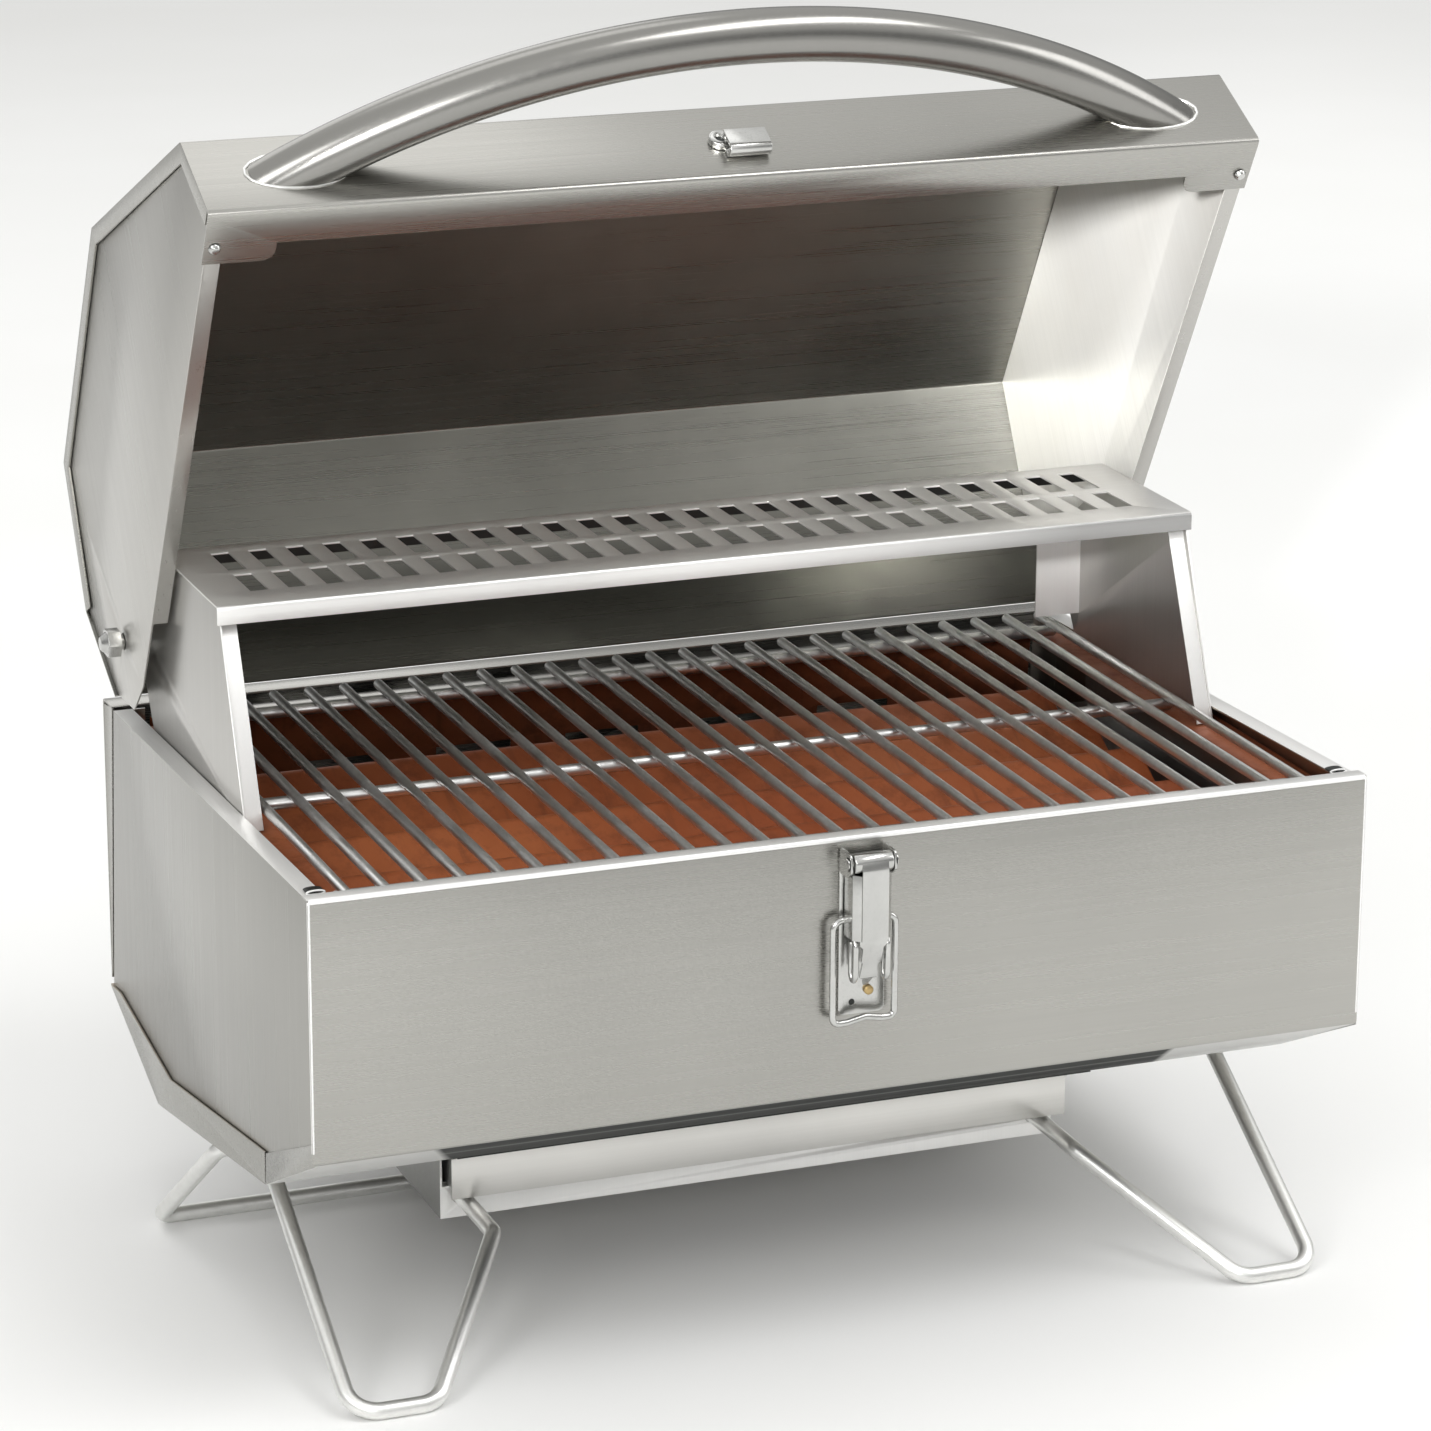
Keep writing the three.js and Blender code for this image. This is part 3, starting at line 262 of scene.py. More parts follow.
def shaded_slope():
    """The slope under the front panel: painted shade over the tray but for one pale painted highlight line,
    and painted light beside it.
    """
    skew, left_end, right_end, edge, line_y = 0.385, -204, 160, 4, 34
    finish = Finish("shaded_slope", Metallic=0.6)
    x, y = finish.coordinate("X"), finish.coordinate("Y")
    skewed = finish.math("SUBTRACT", x, finish.math("MULTIPLY", y, skew))
    zero = ORIGIN.x - ORIGIN.y * skew
    left = finish.span(skewed, 0, 1, zero + left_end * MM, zero + (left_end + edge) * MM)
    right = finish.span(skewed, 1, 0, zero + right_end * MM, zero + (right_end + edge) * MM)
    # Painted shade over the tray, its ends skewed with the line of sight.
    shade_over_tray = finish.math("MULTIPLY", left, right)
    # A pale line of painted highlight across the shade.
    off_line = finish.math("ABSOLUTE", finish.math("SUBTRACT", y, at(0, line_y, 0).y), 0)
    line = finish.span(off_line, 0.35, 0, 1 * MM, 6 * MM)
    grime = finish.noise(finish.place((20, 260, 260)), 1.0, 3.0, 0.6)
    dark = finish.blend(grime, (0.012, 0.014, 0.013), (0.035, 0.038, 0.035))
    dark = finish.blend(line, dark, (0.42, 0.43, 0.41))
    # Painted light beside the tray.
    bright = finish.blend(grime, (0.60, 0.60, 0.585), (0.72, 0.715, 0.70))
    finish.give("Base Color", finish.blend(shade_over_tray, bright, dark))
    finish.give("Roughness", finish.span(grime, 0.5, 0.62))
    return finish.material


def plastic(name, color, rough):
    """Moulded plastic with a fine leathery texture and a slight rubbed sheen."""
    finish = Finish(name, Metallic=0.0)
    pebble = finish.node("TexVoronoi", {"Vector": finish.place(), "Scale": 900.0}).outputs["Distance"]
    wear = finish.noise(finish.place(), 40.0, 4.0, 0.6)
    rubbed = [c * 2.2 + 0.01 for c in color]
    finish.give("Base Color", finish.blend(finish.span(wear, 0, 1, 0.4, 0.75), color, rubbed))
    finish.give("Roughness", finish.span(wear, rough - 0.06, rough + 0.08))
    finish.bump(pebble, 0.25, 0.06)
    return finish.material


def glazed_ceramic():
    """Off-white glaze with fine tan speckles."""
    finish = Finish("ceramic", Metallic=0.0, Coat_Weight=0.5)
    speck = finish.noise(finish.place((300, 300, 300)), 1.0, 3.0, 0.6)
    tone = finish.blend(finish.span(speck, 0, 1, 0.35, 0.7), (0.82, 0.8, 0.74), (0.68, 0.62, 0.5))
    finish.give("Base Color", tone)
    finish.give("Roughness", finish.span(speck, 0.25, 0.4))
    return finish.material


ALONG_X, ALONG_Y, ALONG_Z = 0, 1, 2
sheet_steel = brushed("brushed_stainless", (0.405, 0.398, 0.375), 0.26, ALONG_X, cloud=0.1, cloud_size=3.2)
side_steel = brushed("brushed_stainless_sides", (0.40, 0.393, 0.372), 0.28, ALONG_Z, cloud=0.1,
                     cloud_size=3.2)
wing_steel = brushed("brushed_stainless_wings", (0.53, 0.52, 0.50), 0.3, ALONG_Z, metallic=0.8)
# A lighter copy of the brushed steel for the tray and its frame: painted light.
tray_steel = brushed("brushed_stainless_tray", (0.68, 0.67, 0.645), 0.3, ALONG_X, cloud=0.1)
lid_side_steel = brushed("brushed_stainless_lid_sides", (0.52, 0.51, 0.487), 0.28, ALONG_Y,
                         (-LID_OPEN, 0, 0))
# Smoke-tinted inside of the lid, with painted shade below the warming rack.
lid_inside = brushed("smoked_stainless_shaded_below", (0.44, 0.435, 0.40), 0.27, ALONG_X, cloud=0.16, grain_tone=0.2,
                     tint=(0.31, 0.31, 0.28), shaded_below_mm=(276, 304))
# A much lighter, less metallic copy of the lid sides' steel for their inner faces: painted light, its tint
# patches painted reflection.
lid_side_inside = brushed("lid_inner_sides_painted_light", (0.86, 0.85, 0.82), 0.4, ALONG_Y, (-LID_OPEN, 0, 0),
                          cloud=0.1, grain_tone=0.35, tint=(0.72, 0.70, 0.65), metallic=0.4)
tub_inside = brushed("fired_stainless", (0.42, 0.39, 0.34), 0.34, ALONG_X, cloud=0.2, tint=(0.2, 0.13, 0.08))
satin_tube = brushed("satin_tube", (0.30, 0.295, 0.28), 0.2, ALONG_Y, grain_depth=0.003, cloud=0.03)
under_steel = brushed("shaded_steel", (0.33, 0.33, 0.32), 0.36, ALONG_X, cloud=0.12)
# A pale copy for front-facing strips of the wings and tray frame: painted light.
lit_strip_steel = brushed("strips_painted_light", (0.88, 0.875, 0.86), 0.34, ALONG_Z, metallic=0.5)
# A pale copy for the rack's front-facing faces: painted light, with painted shade closing in towards the
# right.
lit_rack_front = brushed("rack_front_painted_light", (0.88, 0.875, 0.86), 0.34, ALONG_X, metallic=0.5,
                     fading_mm=(-20, 190))
# A pale copy for up-facing rims: painted light.
lit_rim_steel = brushed("rims_painted_light", (0.78, 0.775, 0.76), 0.32, ALONG_Y, metallic=0.5)
# Near-white beads along the front folds and hem ends: painted highlight.
highlight_bead_steel = brushed("folds_painted_highlight", (0.90, 0.90, 0.89), 0.3, ALONG_X, cloud=0.02, grain_tone=0.05,
                     metallic=0.4)
dark_steel = brushed("shadow_steel", (0.05, 0.052, 0.05), 0.45, ALONG_X, cloud=0.2)
rack_steel = brushed("rack_stainless", (0.72, 0.71, 0.69), 0.3, ALONG_X, metallic=0.7)
polished = bright_metal("polished_steel", (0.60, 0.60, 0.585), 0.15)
grate_steel = rod_steel("grate_rod", (0.72, 0.72, 0.71), 0.33, soot=0.25)
leg_steel = rod_steel("leg_rod", (0.88, 0.88, 0.86), 0.36)
heat_tinted = heat_stained("heat_tinted_steel", (0.46, 0.14, 0.047), (0.34, 0.085, 0.026))
heat_stained_wall = heat_stained("heat_stained_wall", (0.30, 0.085, 0.03), (0.17, 0.05, 0.022))
heat_stained_ledge = heat_stained("heat_stained_ledge", (0.40, 0.12, 0.042), (0.28, 0.075, 0.025))
brass = bright_metal("brass", (0.55, 0.40, 0.19), 0.3, 90.0)
black_plastic = plastic("black_plastic", (0.022, 0.022, 0.024), 0.46)
pale_mark = plastic("pale_mark", (0.62, 0.62, 0.60), 0.5)
ceramic = glazed_ceramic()


# ---- mesh helpers: a part is (points in metres, faces) -------------------------------------------------
def smoothing():
    """A modifier group that shades every face smooth and keeps creases over 32 degrees sharp."""
    tree = bpy.data.node_groups.new("smooth_by_angle", "GeometryNodeTree")
    tree.interface.new_socket("Geometry", in_out="INPUT", socket_type="NodeSocketGeometry")
    tree.interface.new_socket("Geometry", in_out="OUTPUT", socket_type="NodeSocketGeometry")
    start, end = tree.nodes.new("NodeGroupInput"), tree.nodes.new("NodeGroupOutput")
    faces, edges = (tree.nodes.new("GeometryNodeSetShadeSmooth") for _ in range(2))
    faces.domain, edges.domain = "FACE", "EDGE"
    angle = tree.nodes.new("GeometryNodeInputMeshEdgeAngle")
    gentle = tree.nodes.new("FunctionNodeCompare")
    gentle.operation = "LESS_EQUAL"
    gentle.inputs[1].default_value = math.radians(32)
    tree.links.new(start.outputs[0], faces.inputs["Geometry"])
    tree.links.new(faces.outputs["Geometry"], edges.inputs["Geometry"])
    tree.links.new(angle.outputs["Unsigned Angle"], gentle.inputs[0])
    tree.links.new(gentle.outputs["Result"], edges.inputs["Shade Smooth"])
    tree.links.new(edges.outputs["Geometry"], end.inputs[0])
    return tree


SMOOTHING = smoothing()
TINY_MM = 0.01      # too small to see: joins vertices that coincide, and keeps ground feet off the floor


def soften(obj, bevel_mm, dissolve=False):
    """Real edges: coplanar triangles merged, edges rounded over, and smooth shading on the round parts."""
    if dissolve:
        weld = obj.modifiers.new("weld", "WELD")
        weld.merge_threshold = TINY_MM * MM
        flat = obj.modifiers.new("flat", "DECIMATE")
        flat.decimate_type = "DISSOLVE"
        flat.angle_limit = math.radians(0.6)
        flat.delimit = {"MATERIAL"}
    if bevel_mm:
        bevel = obj.modifiers.new("bevel", "BEVEL")
        bevel.width = bevel_mm * MM
        bevel.segments = 2
        bevel.limit_method = "ANGLE"
        bevel.angle_limit = math.radians(38)
        bevel.use_clamp_overlap = True
        bevel.miter_outer = "MITER_ARC"
    shade = obj.modifiers.new("shade", "NODES")
    shade.node_group = SMOOTHING


def piece(name, parts, material, body, replaces=(), bevel_mm=0.0):
    """One object from several closed parts, riding on a body."""
    points, faces = [], []
    for part_points, part_faces in parts:
        faces += [[len(points) + i for i in face] for face in part_faces]
        points += part_points
    mesh = bpy.data.meshes.new(name)
    mesh.from_pydata(points, [], faces)
    shape = bmesh.new()
    shape.from_mesh(mesh)
    bmesh.ops.recalc_face_normals(shape, faces=shape.faces)
    shape.to_mesh(mesh)
    shape.free()
    mesh.materials.append(material)
    obj = bpy.data.objects.new(name, mesh)
    bpy.context.scene.collection.objects.link(obj)
    soften(obj, bevel_mm)
    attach(obj, body)
    if replaces:
        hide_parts(*replaces)
    return obj


def trim(obj, point, normal):
    """Cuts off what lies behind a plane, and closes the cut."""
    shape = bmesh.new()
    shape.from_mesh(obj.data)
    whole = shape.verts[:] + shape.edges[:] + shape.faces[:]
    made = bmesh.ops.bisect_plane(shape, geom=whole, plane_co=point, plane_no=normal, clear_inner=True)
    rim = [e for e in made["geom_cut"] if isinstance(e, bmesh.types.BMEdge)]
    bmesh.ops.holes_fill(shape, edges=rim)
    shape.to_mesh(obj.data)
    shape.free()


def rounded(points, radius, steps=8):
    """The path with its inner corners turned into arcs. The radius is one number, or a list of them."""
    points = [Vector(p) for p in points]
    path = [points[0]]
    radii = radius if isinstance(radius, list) else [radius] * (len(points) - 2)
    for before, corner, after, bend in zip(points, points[1:], points[2:], radii):
        back, on = (before - corner).normalized(), (after - corner).normalized()
        turn = math.pi - math.acos(max(-1, min(1, back.dot(on))))
        if turn < 1e-3:
            path.append(corner)
            continue
        reach = min(bend * math.tan(turn / 2), 0.49 * min((before - corner).length, (after - corner).length))
        arc = reach / math.tan(turn / 2)
        centre = corner + (back + on).normalized() * (arc / math.cos(turn / 2))
        start, end = corner + back * reach - centre, corner + on * reach - centre
        sweep_angle = start.angle(end)
        for k in range(steps + 1):
            t = k / steps
            a, b = math.sin((1 - t) * sweep_angle), math.sin(t * sweep_angle)
            path.append(centre + (start * a + end * b) / math.sin(sweep_angle))
    return path + [points[-1]]


def closed_round(points, radius):
    """A closed outline with every corner rounded."""
    points = [Vector(p) for p in points]
    middle = (points[-1] + points[0]) / 2
    path = rounded([middle, *points, middle], radius, 6)
    return path[1:-1]


def wire(points, radius, sides=20, closed=False, dome=0.5):
    """A round bar through points in metres. An open bar's ends are domed by so many radii."""
    points = [Vector(p) for p in points]
    count = len(points)
    tangents = []
    for i in range(count):
        after = points[(i + 1) % count] if closed else points[min(i + 1, count - 1)]
        before = points[i - 1] if closed or i else points[0]
        tangents.append((after - before).normalized())
    side = tangents[0].orthogonal().normalized()
    verts, rings = [], []

    def ring(centre, tangent, side, scale=1.0):
        up = tangent.cross(side)
        rings.append(len(verts))
        for k in range(sides):
            a = 2 * math.pi * k / sides
            verts.append(centre + (side * math.cos(a) + up * math.sin(a)) * radius * scale)

    for i, (point, tangent) in enumerate(zip(points, tangents)):
        side = (side - tangent * side.dot(tangent)).normalized()
        if i == 0 and not closed and dome:
            for t in (0.9, 0.55):
                ring(point - tangent * radius * dome * t, tangent, side, math.sqrt(1 - t * t))
        ring(point, tangent, side)
        if i == count - 1 and not closed and dome:
            for t in (0.55, 0.9):
                ring(point + tangent * radius * dome * t, tangent, side, math.sqrt(1 - t * t))
    faces = []
    pairs = list(zip(rings, rings[1:])) + ([(rings[-1], rings[0])] if closed else [])
    for a, b in pairs:
        faces += [[a + k, a + (k + 1) % sides, b + (k + 1) % sides, b + k] for k in range(sides)]
    if not closed:
        faces.append([rings[0] + k for k in reversed(range(sides))])
        faces.append([rings[-1] + k for k in range(sides)])
    return verts, faces


def prism(outline, near, far, place):
    """An outline of (a, b) pairs, carried from near to far. place(a, b, c) gives a point in metres."""
    count = len(outline)
    points = [place(p[0], p[1], near) for p in outline] + [place(p[0], p[1], far) for p in outline]
    faces = [[i, (i + 1) % count, count + (i + 1) % count, count + i] for i in range(count)]
    return points, [list(reversed(range(count))), list(range(count, 2 * count)), *faces]


def along_x(y, z, x):
    """Places a prism whose outline is (y, z), drawn out along x."""
    return at(x, y, z)


def along_y(x, z, y):
    """Places a prism whose outline is (x, z), drawn out along y."""
    return at(x, y, z)


def sheet_strip(path, thickness):
    """The outline of a bent sheet, from its outer face's path and its thickness to the path's left."""
    path = [Vector(p) for p in path]
    inner = []
    for i, point in enumerate(path):
        on = path[i + 1] - point if i < len(path) - 1 else point - path[i - 1]
        back = point - path[i - 1] if i else on
        along = (on.normalized() + back.normalized()).normalized()
        stretch = thickness / along.dot(on.normalized())
        inner.append(Vector((point.x - along.y * stretch, point.y + along.x * stretch)))
    return path + inner[::-1]


def turned(profile, place, sides=40, flute=None):
    """A lathe part: profile has (station, radius) pairs, and place(station, across, up) gives its points."""
    points, faces = [], []
    for station, radius in profile:
        for k in range(sides):
            a = 2 * math.pi * k / sides
            r = radius * (flute(a, station) if flute else 1)
            points.append(place(station, r * math.cos(a), r * math.sin(a)))
    for row in range(len(profile) - 1):
        a, b = row * sides, (row + 1) * sides
        faces += [[a + k, a + (k + 1) % sides, b + (k + 1) % sides, b + k] for k in range(sides)]
    last = (len(profile) - 1) * sides
    return points, [list(reversed(range(sides))), [last + k for k in range(sides)], *faces]


def both(name):
    """The names of a pair of nodes."""
    return [name + "_right", name + "_left"]


# ---- CAD nodes that keep their shape -------------------------------------------------------------------
SHEET_BEVEL = 0.22


def dress(name, material, bevel_mm=SHEET_BEVEL):
    """A CAD node as it is drawn, with a material and real edges."""
    obj = frame["nodes"][name]
    obj.data.materials.clear()
    obj.data.materials.append(material)
    soften(obj, bevel_mm, dissolve=True)


def refinish(name, material, wanted):
    """Faces whose normal passes the test take one more material."""
    mesh = frame["nodes"][name].data
    mesh.materials.append(material)
    for face in mesh.polygons:
        if wanted(face.normal):
            face.material_index = len(mesh.materials) - 1


def line_inside(name, centre, material):
    """Faces of a shell that look towards the centre take a second material."""
    mesh = frame["nodes"][name].data
    mesh.materials.append(material)
    for face in mesh.polygons:
        if face.normal.dot(Vector(face.center) - centre) < 0:
            face.material_index = 1


def faces_front(normal):
    return normal.y < -0.6


for node in ["tub_front_panel", "tub_bottom_pan", "tub_rear_panel", "rear_heat_shield", "lid_wrap",
             "leg_pivot_plate", "control_plate"]:
    dress(node, sheet_steel)
for node in ["tray_frame", "drip_tray"]:
    dress(node, tray_steel)
for node in both("tub_side"):
    dress(node, side_steel)
for node in both("wing"):
    dress(node, wing_steel)
for node in both("lid_side"):
    dress(node, lid_side_steel)
for node in both("grate_ledge"):
    dress(node, heat_stained_ledge)
for node in ["burner_tube", *both("plate_hanger"), *both("burner_bracket"), *both("tray_rail"),
             *both("rear_leg_clip")]:
    dress(node, under_steel)
# The visor is near black: painted shade in the gap above the tray.
dress("tray_visor", dark_steel)
for node in [*both("hinge_bolt"), *both("hinge_spacer"), *both("hinge_nut"), *both("lid_rivet")]:
    dress(node, polished, 0.35)
for node in ["gas_valve", "gas_inlet"]:
    dress(node, brass, 0.3)
dress("heat_plate", heat_tinted)
dress("igniter_body", black_plastic, 0.3)
dress("igniter_electrode", ceramic, 0.2)

LID_MIDDLE = lid_at(0, 190, 325)
TUB_MIDDLE = at(0, 190, 165)
line_inside("lid_wrap", LID_MIDDLE, lid_inside)
for node in both("lid_side"):
    line_inside(node, LID_MIDDLE, lid_side_inside)
for node in ["tub_bottom_pan", *both("tub_side")]:
    line_inside(node, TUB_MIDDLE, tub_inside)
line_inside("tub_rear_panel", TUB_MIDDLE, heat_stained_wall)
# The wings' front-facing strips take painted light.
for node in both("wing"):
    refinish(node, lit_strip_steel, faces_front)
# Up-facing rims of the front panel and tub sides take painted light.
for node in ["tub_front_panel", *both("tub_side")]:
    refinish(node, lit_rim_steel, lambda normal: normal.z > 0.9)
# The slope under the front panel takes painted shade, a painted highlight line and painted light.
refinish("tub_front_panel", shaded_slope(), lambda normal: normal.z < -0.8)
# The tray frame's side faces take painted shade, and its front faces painted light.
refinish("tray_frame", under_steel, lambda normal: abs(normal.x) > 0.6)
refinish("tray_frame", lit_strip_steel, faces_front)


# ---- tub: painted highlights on the folds, and folded ends at the front corners -------------------------
def front_folds():
    """Near-white rods on the rolled folds round the front panel's sides and top: a painted highlight on each
    fold.
    """
    side, top, foot, inset, deep = HALF_WIDTH - 0.65, FRONT_HIGH.z / MM - 1.35, 133, 0.65, 1.3
    side_radius, top_radius = 0.8, 1.45
    folds = [wire([at(x, inset, foot), at(x, inset, top)], side_radius * MM, 14) for x in (-side, side)]
    folds.append(wire([at(-side + 0.5, deep, top), at(side - 0.5, deep, top)], top_radius * MM, 20))
    piece("front_folds", folds, highlight_bead_steel, "tub")


def hem_ends():
    """The open ends of the side flanges' hems: a flat tube's mouth, a painted highlight round it and painted
    shade inside.
    """
    middle_x, middle_z, half_wide, half_thick, front, rear, steps = 252, 250.4, 4.2, 0.95, 14, 20, 32
    rings, mouths = [], []
    for x in (-middle_x, middle_x):
        oval = []
        for k in range(steps):
            a = 2 * math.pi * k / steps
            oval.append((x + half_wide * math.cos(a), middle_z + half_thick * math.sin(a)))
        rings.append(wire([along_y(*p, front) for p in oval], 0.4 * MM, 10, closed=True))
        mouths.append(prism(oval, front + 0.1, rear, along_y))
    piece("hem_rings", rings, highlight_bead_steel, "tub")
    piece("hem_mouths", mouths, dark_steel, "tub")


front_folds()
hem_ends()


# ---- lid: handle, keeper ------------------------------------------------------------------------------
PANEL_FOOT, PANEL_TOP = Vector((9.7, 253.7)), Vector((12.4, 305.1))
PANEL_UP = (PANEL_TOP - PANEL_FOOT).normalized()
PANEL_OUT = Vector((-PANEL_UP.y, PANEL_UP.x))


def on_panel(x, up, out):
    """A point on the lid's front panel, so far up it and so far out from it."""
    spot = PANEL_FOOT + PANEL_UP * up + PANEL_OUT * out
    return lid_at(x, spot.x, spot.y)


HANDLE_RADIUS, HANDLE_HALF_SPAN, HANDLE_RISE, HANDLE_UP = 12.7, 212.5, 60.6, 26


def handle():
    """A bent tube whose two ends are cut flush with the lid's panel and welded on."""
    half, overrun, stations, turns, ripples = HANDLE_HALF_SPAN, 0.045, 96, 72, 18
    bend = (half ** 2 + HANDLE_RISE ** 2) / (2 * HANDLE_RISE)
    lean = math.asin(half / bend)
    path = []
    for i in range(stations + 1):
        angle = (lean + overrun) * (2 * i / stations - 1)
        path.append(on_panel(bend * math.sin(angle), HANDLE_UP, bend * math.cos(angle) - bend + HANDLE_RISE))
    bar = wire(path, HANDLE_RADIUS * MM, 64, dome=0)
    tube = piece("handle_tube", [bar], satin_tube, "lid", ["lid_handle"])
    trim(tube, on_panel(0, 0, 0.05), (on_panel(0, 0, 1) - on_panel(0, 0, 0)).normalized())
    beads = []
    for middle in (-half, half):
        loop = []
        for k in range(turns):
            a = 2 * math.pi * k / turns
            radius = HANDLE_RADIUS * (1 + 0.006 * math.sin(ripples * a))
            x = middle + radius / math.sin(lean) * math.cos(a)
            loop.append(on_panel(x, HANDLE_UP + radius * math.sin(a), 0.15))
        beads.append(wire(loop, 0.75 * MM, 10, closed=True))
    piece("handle_welds", beads, leg_steel, "lid")


handle()

LATCH_X = 2


def keeper():
    """A strip folded over into a hook that opens upwards, and the eyelet and screw beside it."""
    foot, rise, top, base, base_top, thickness = 11.5, 8, 24, 0.4, 31, 1.6
    left, right = LATCH_X - 10.5, LATCH_X + 10
    eye_x, eye_up = LATCH_X - 10.6, 25
    hook = rounded([(top, rise), (foot, rise), (foot, base), (base_top, base)], 3.75, 10)
    hook[0] += Vector((0.6, 0.35))
    strip = sheet_strip(hook, thickness)

    def on_eye(out, a, b):
        return on_panel(eye_x + a, eye_up + b, out)

    hook_part = prism([(p.x, p.y) for p in strip], left, right, lambda up, out, x: on_panel(x, up, out))
    eye = turned([(0.3, 5.9), (2.4, 5.9), (3.4, 5.5), (3.9, 4.5), (3.9, 3.6), (3.3, 2.8), (1.6, 2.3),
                  (1.4, 0.3)], on_eye)
    piece("keeper_hook", [hook_part, eye], polished, "lid", ["latch_keeper"], 0.3)
    screw = turned([(0.8, 2.25), (1.9, 2.2), (2.2, 1.6), (2.3, 0.4)], on_eye, 24)
    piece("keeper_screw", [screw], dark_steel, "lid")


keeper()


# ---- draw latch ---------------------------------------------------------------------------------------
LEVER_Y, LEVER_Z = -12, 243
BAIL_Y, BAIL_Z = -6.5, 215
PLATE_HALF, PLATE_FOOT, PLATE_FACE, PLATE_BACK = 11.4, 166.5, -1.8, -0.3


def on_latch(x, y, z):
    """A point of the design, with x counted from the latch's middle."""
    return at(LATCH_X + x, y, z)


def on_lever_pin(x, across, up):
    """A point so far along the lever's pin, and so far from the pin's axis."""
    return on_latch(x, LEVER_Y + across, LEVER_Z + up)


def latch_plate():
    """The stamped base plate with its two ears and the hole near its foot."""
    corner, ear_width, hole_x, hole_z = 3, 1.2, -4.8, 172.6
    base = closed_round([(-PLATE_HALF, PLATE_FOOT), (PLATE_HALF, PLATE_FOOT), (PLATE_HALF, LEVER_Z),
                         (-PLATE_HALF, LEVER_Z)], corner)
    parts = [prism(base, PLATE_FACE, PLATE_BACK, lambda x, z, y: on_latch(x, y, z))]
    ear = closed_round([(-1.2, LEVER_Z + 5.5), (-14.2, LEVER_Z + 4.6), (-15.2, LEVER_Z - 3.5),
                        (-11, LEVER_Z - 7), (-1.2, LEVER_Z - 7.5)], 2.2)
    for x in (LATCH_X - PLATE_HALF, LATCH_X + PLATE_HALF - ear_width):
        parts.append(prism(ear, x, x + ear_width, along_x))
    piece("latch_plate", parts, polished, "tub", ["latch_base"], 0.3)
    hole = turned([(-1.84, 1.5), (-1.95, 1.3), (-1.96, 0.5)],
                  lambda y, a, b: on_latch(hole_x + a, y, hole_z + b), 20)
    piece("latch_dimple", [hole], dark_steel, "tub")


def latch_tongue():
    """The lever's tongue: it leaves the channel's foot, narrows, and curls in to a round tip."""
    path = rounded([(-15.7, 211), (-15.7, 203.5), (-13.2, 195), (-9.6, 186.5), (-6.2, 181.8)], 6)
    steps, root, narrowing, thickness = len(path), 6.8, 2.6, 1.3
    widths = [root - narrowing * min(1, i / (steps * 0.45)) for i in range(steps)]
    widths[-5:] = [4.1, 3.8, 3.2, 2.3, 1.1]
    outline = sheet_strip(path, thickness)
    count = len(outline)
    wide = widths + widths[::-1]
    verts = [on_latch(side * w, p.x, p.y) for side in (-1, 1) for p, w in zip(outline, wide)]
    quads = [[i, (i + 1) % count, count + (i + 1) % count, count + i] for i in range(count)]
    caps = [[i, i + 1, count - 2 - i, count - 1 - i] for i in range(steps - 1)]
    caps += [[count + i for i in reversed(face)] for face in list(caps)]
    return verts, quads + caps


def latch_lever():
    """The channel with its slanted edges, the rolled barrel, the tongue and the two long side loops."""
    half, slant, back, bevel_y, face_y, thickness = 9.6, 3.2, -3.6, -12.8, -16.2, 1.2
    section = rounded([(-half, back), (-half, bevel_y), (-half + slant, face_y), (half - slant, face_y),
                       (half, bevel_y), (half, back)], 1.0, 4)
    channel = prism(sheet_strip(section, thickness), 206.5, LEVER_Z - 5.2, on_latch)
    barrel = turned([(-half, 3.4), (-9.3, 4.3), (-8.8, 4.6), (8.8, 4.6), (9.3, 4.3), (half, 3.4)],
                    on_lever_pin)
    face = sheet_strip(rounded([(-16.34, 206.7), (-16.34, 232), (-16.4, LEVER_Z - 3), (-15.6, LEVER_Z + 1)],
                               4, 6), thickness)
    flap = prism(face, -half + slant, half - slant, lambda y, z, x: on_latch(x, y, z))
    loop = rounded([(-11.4, 207.5), (-13.6, 203.5), (-13.2, 189), (-10.6, 185.4), (-8.2, 189), (-8.4, 204)],
                   2.6, 6)
    loops = [wire([on_latch(x, p.x, p.y) for p in loop], 1.45 * MM, 14) for x in (-7.9, 7.9)]
    piece("lever_channel", [channel, barrel, flap, latch_tongue(), *loops], polished, "lever",
          ["latch_lever"], 0.25)


def latch_pin():
    """The headed pin that the lever turns on, a dark ring where each head meets its ear, and the rivet."""
    rivet_x, rivet_z, ring_x = 3.4, 177.6, 11.42
    pin = [(-12.6, 1.0), (-12.4, 2.2), (-12.1, 2.7), (-11.7, 2.7), (-11.6, 1.7)]
    pin += [(-x, radius) for x, radius in reversed(pin)]
    piece("latch_pivot", [turned(pin, on_lever_pin, 28)], polished, "tub", ["latch_pin"])
    rings = [turned([(x, 3.3), (x + depth, 3.2)], on_lever_pin, 28)
             for x, depth in ((-ring_x, -0.12), (ring_x, 0.12))]
    piece("latch_pin_rings", rings, dark_steel, "tub")
    rivet = turned([(-2.0, 2.3), (-2.9, 2.2), (-3.3, 1.7), (-3.5, 0.7)],
                   lambda y, a, b: on_latch(rivet_x + a, y, rivet_z + b), 24)
    piece("latch_stud", [rivet], brass, "tub", ["latch_rivet"])


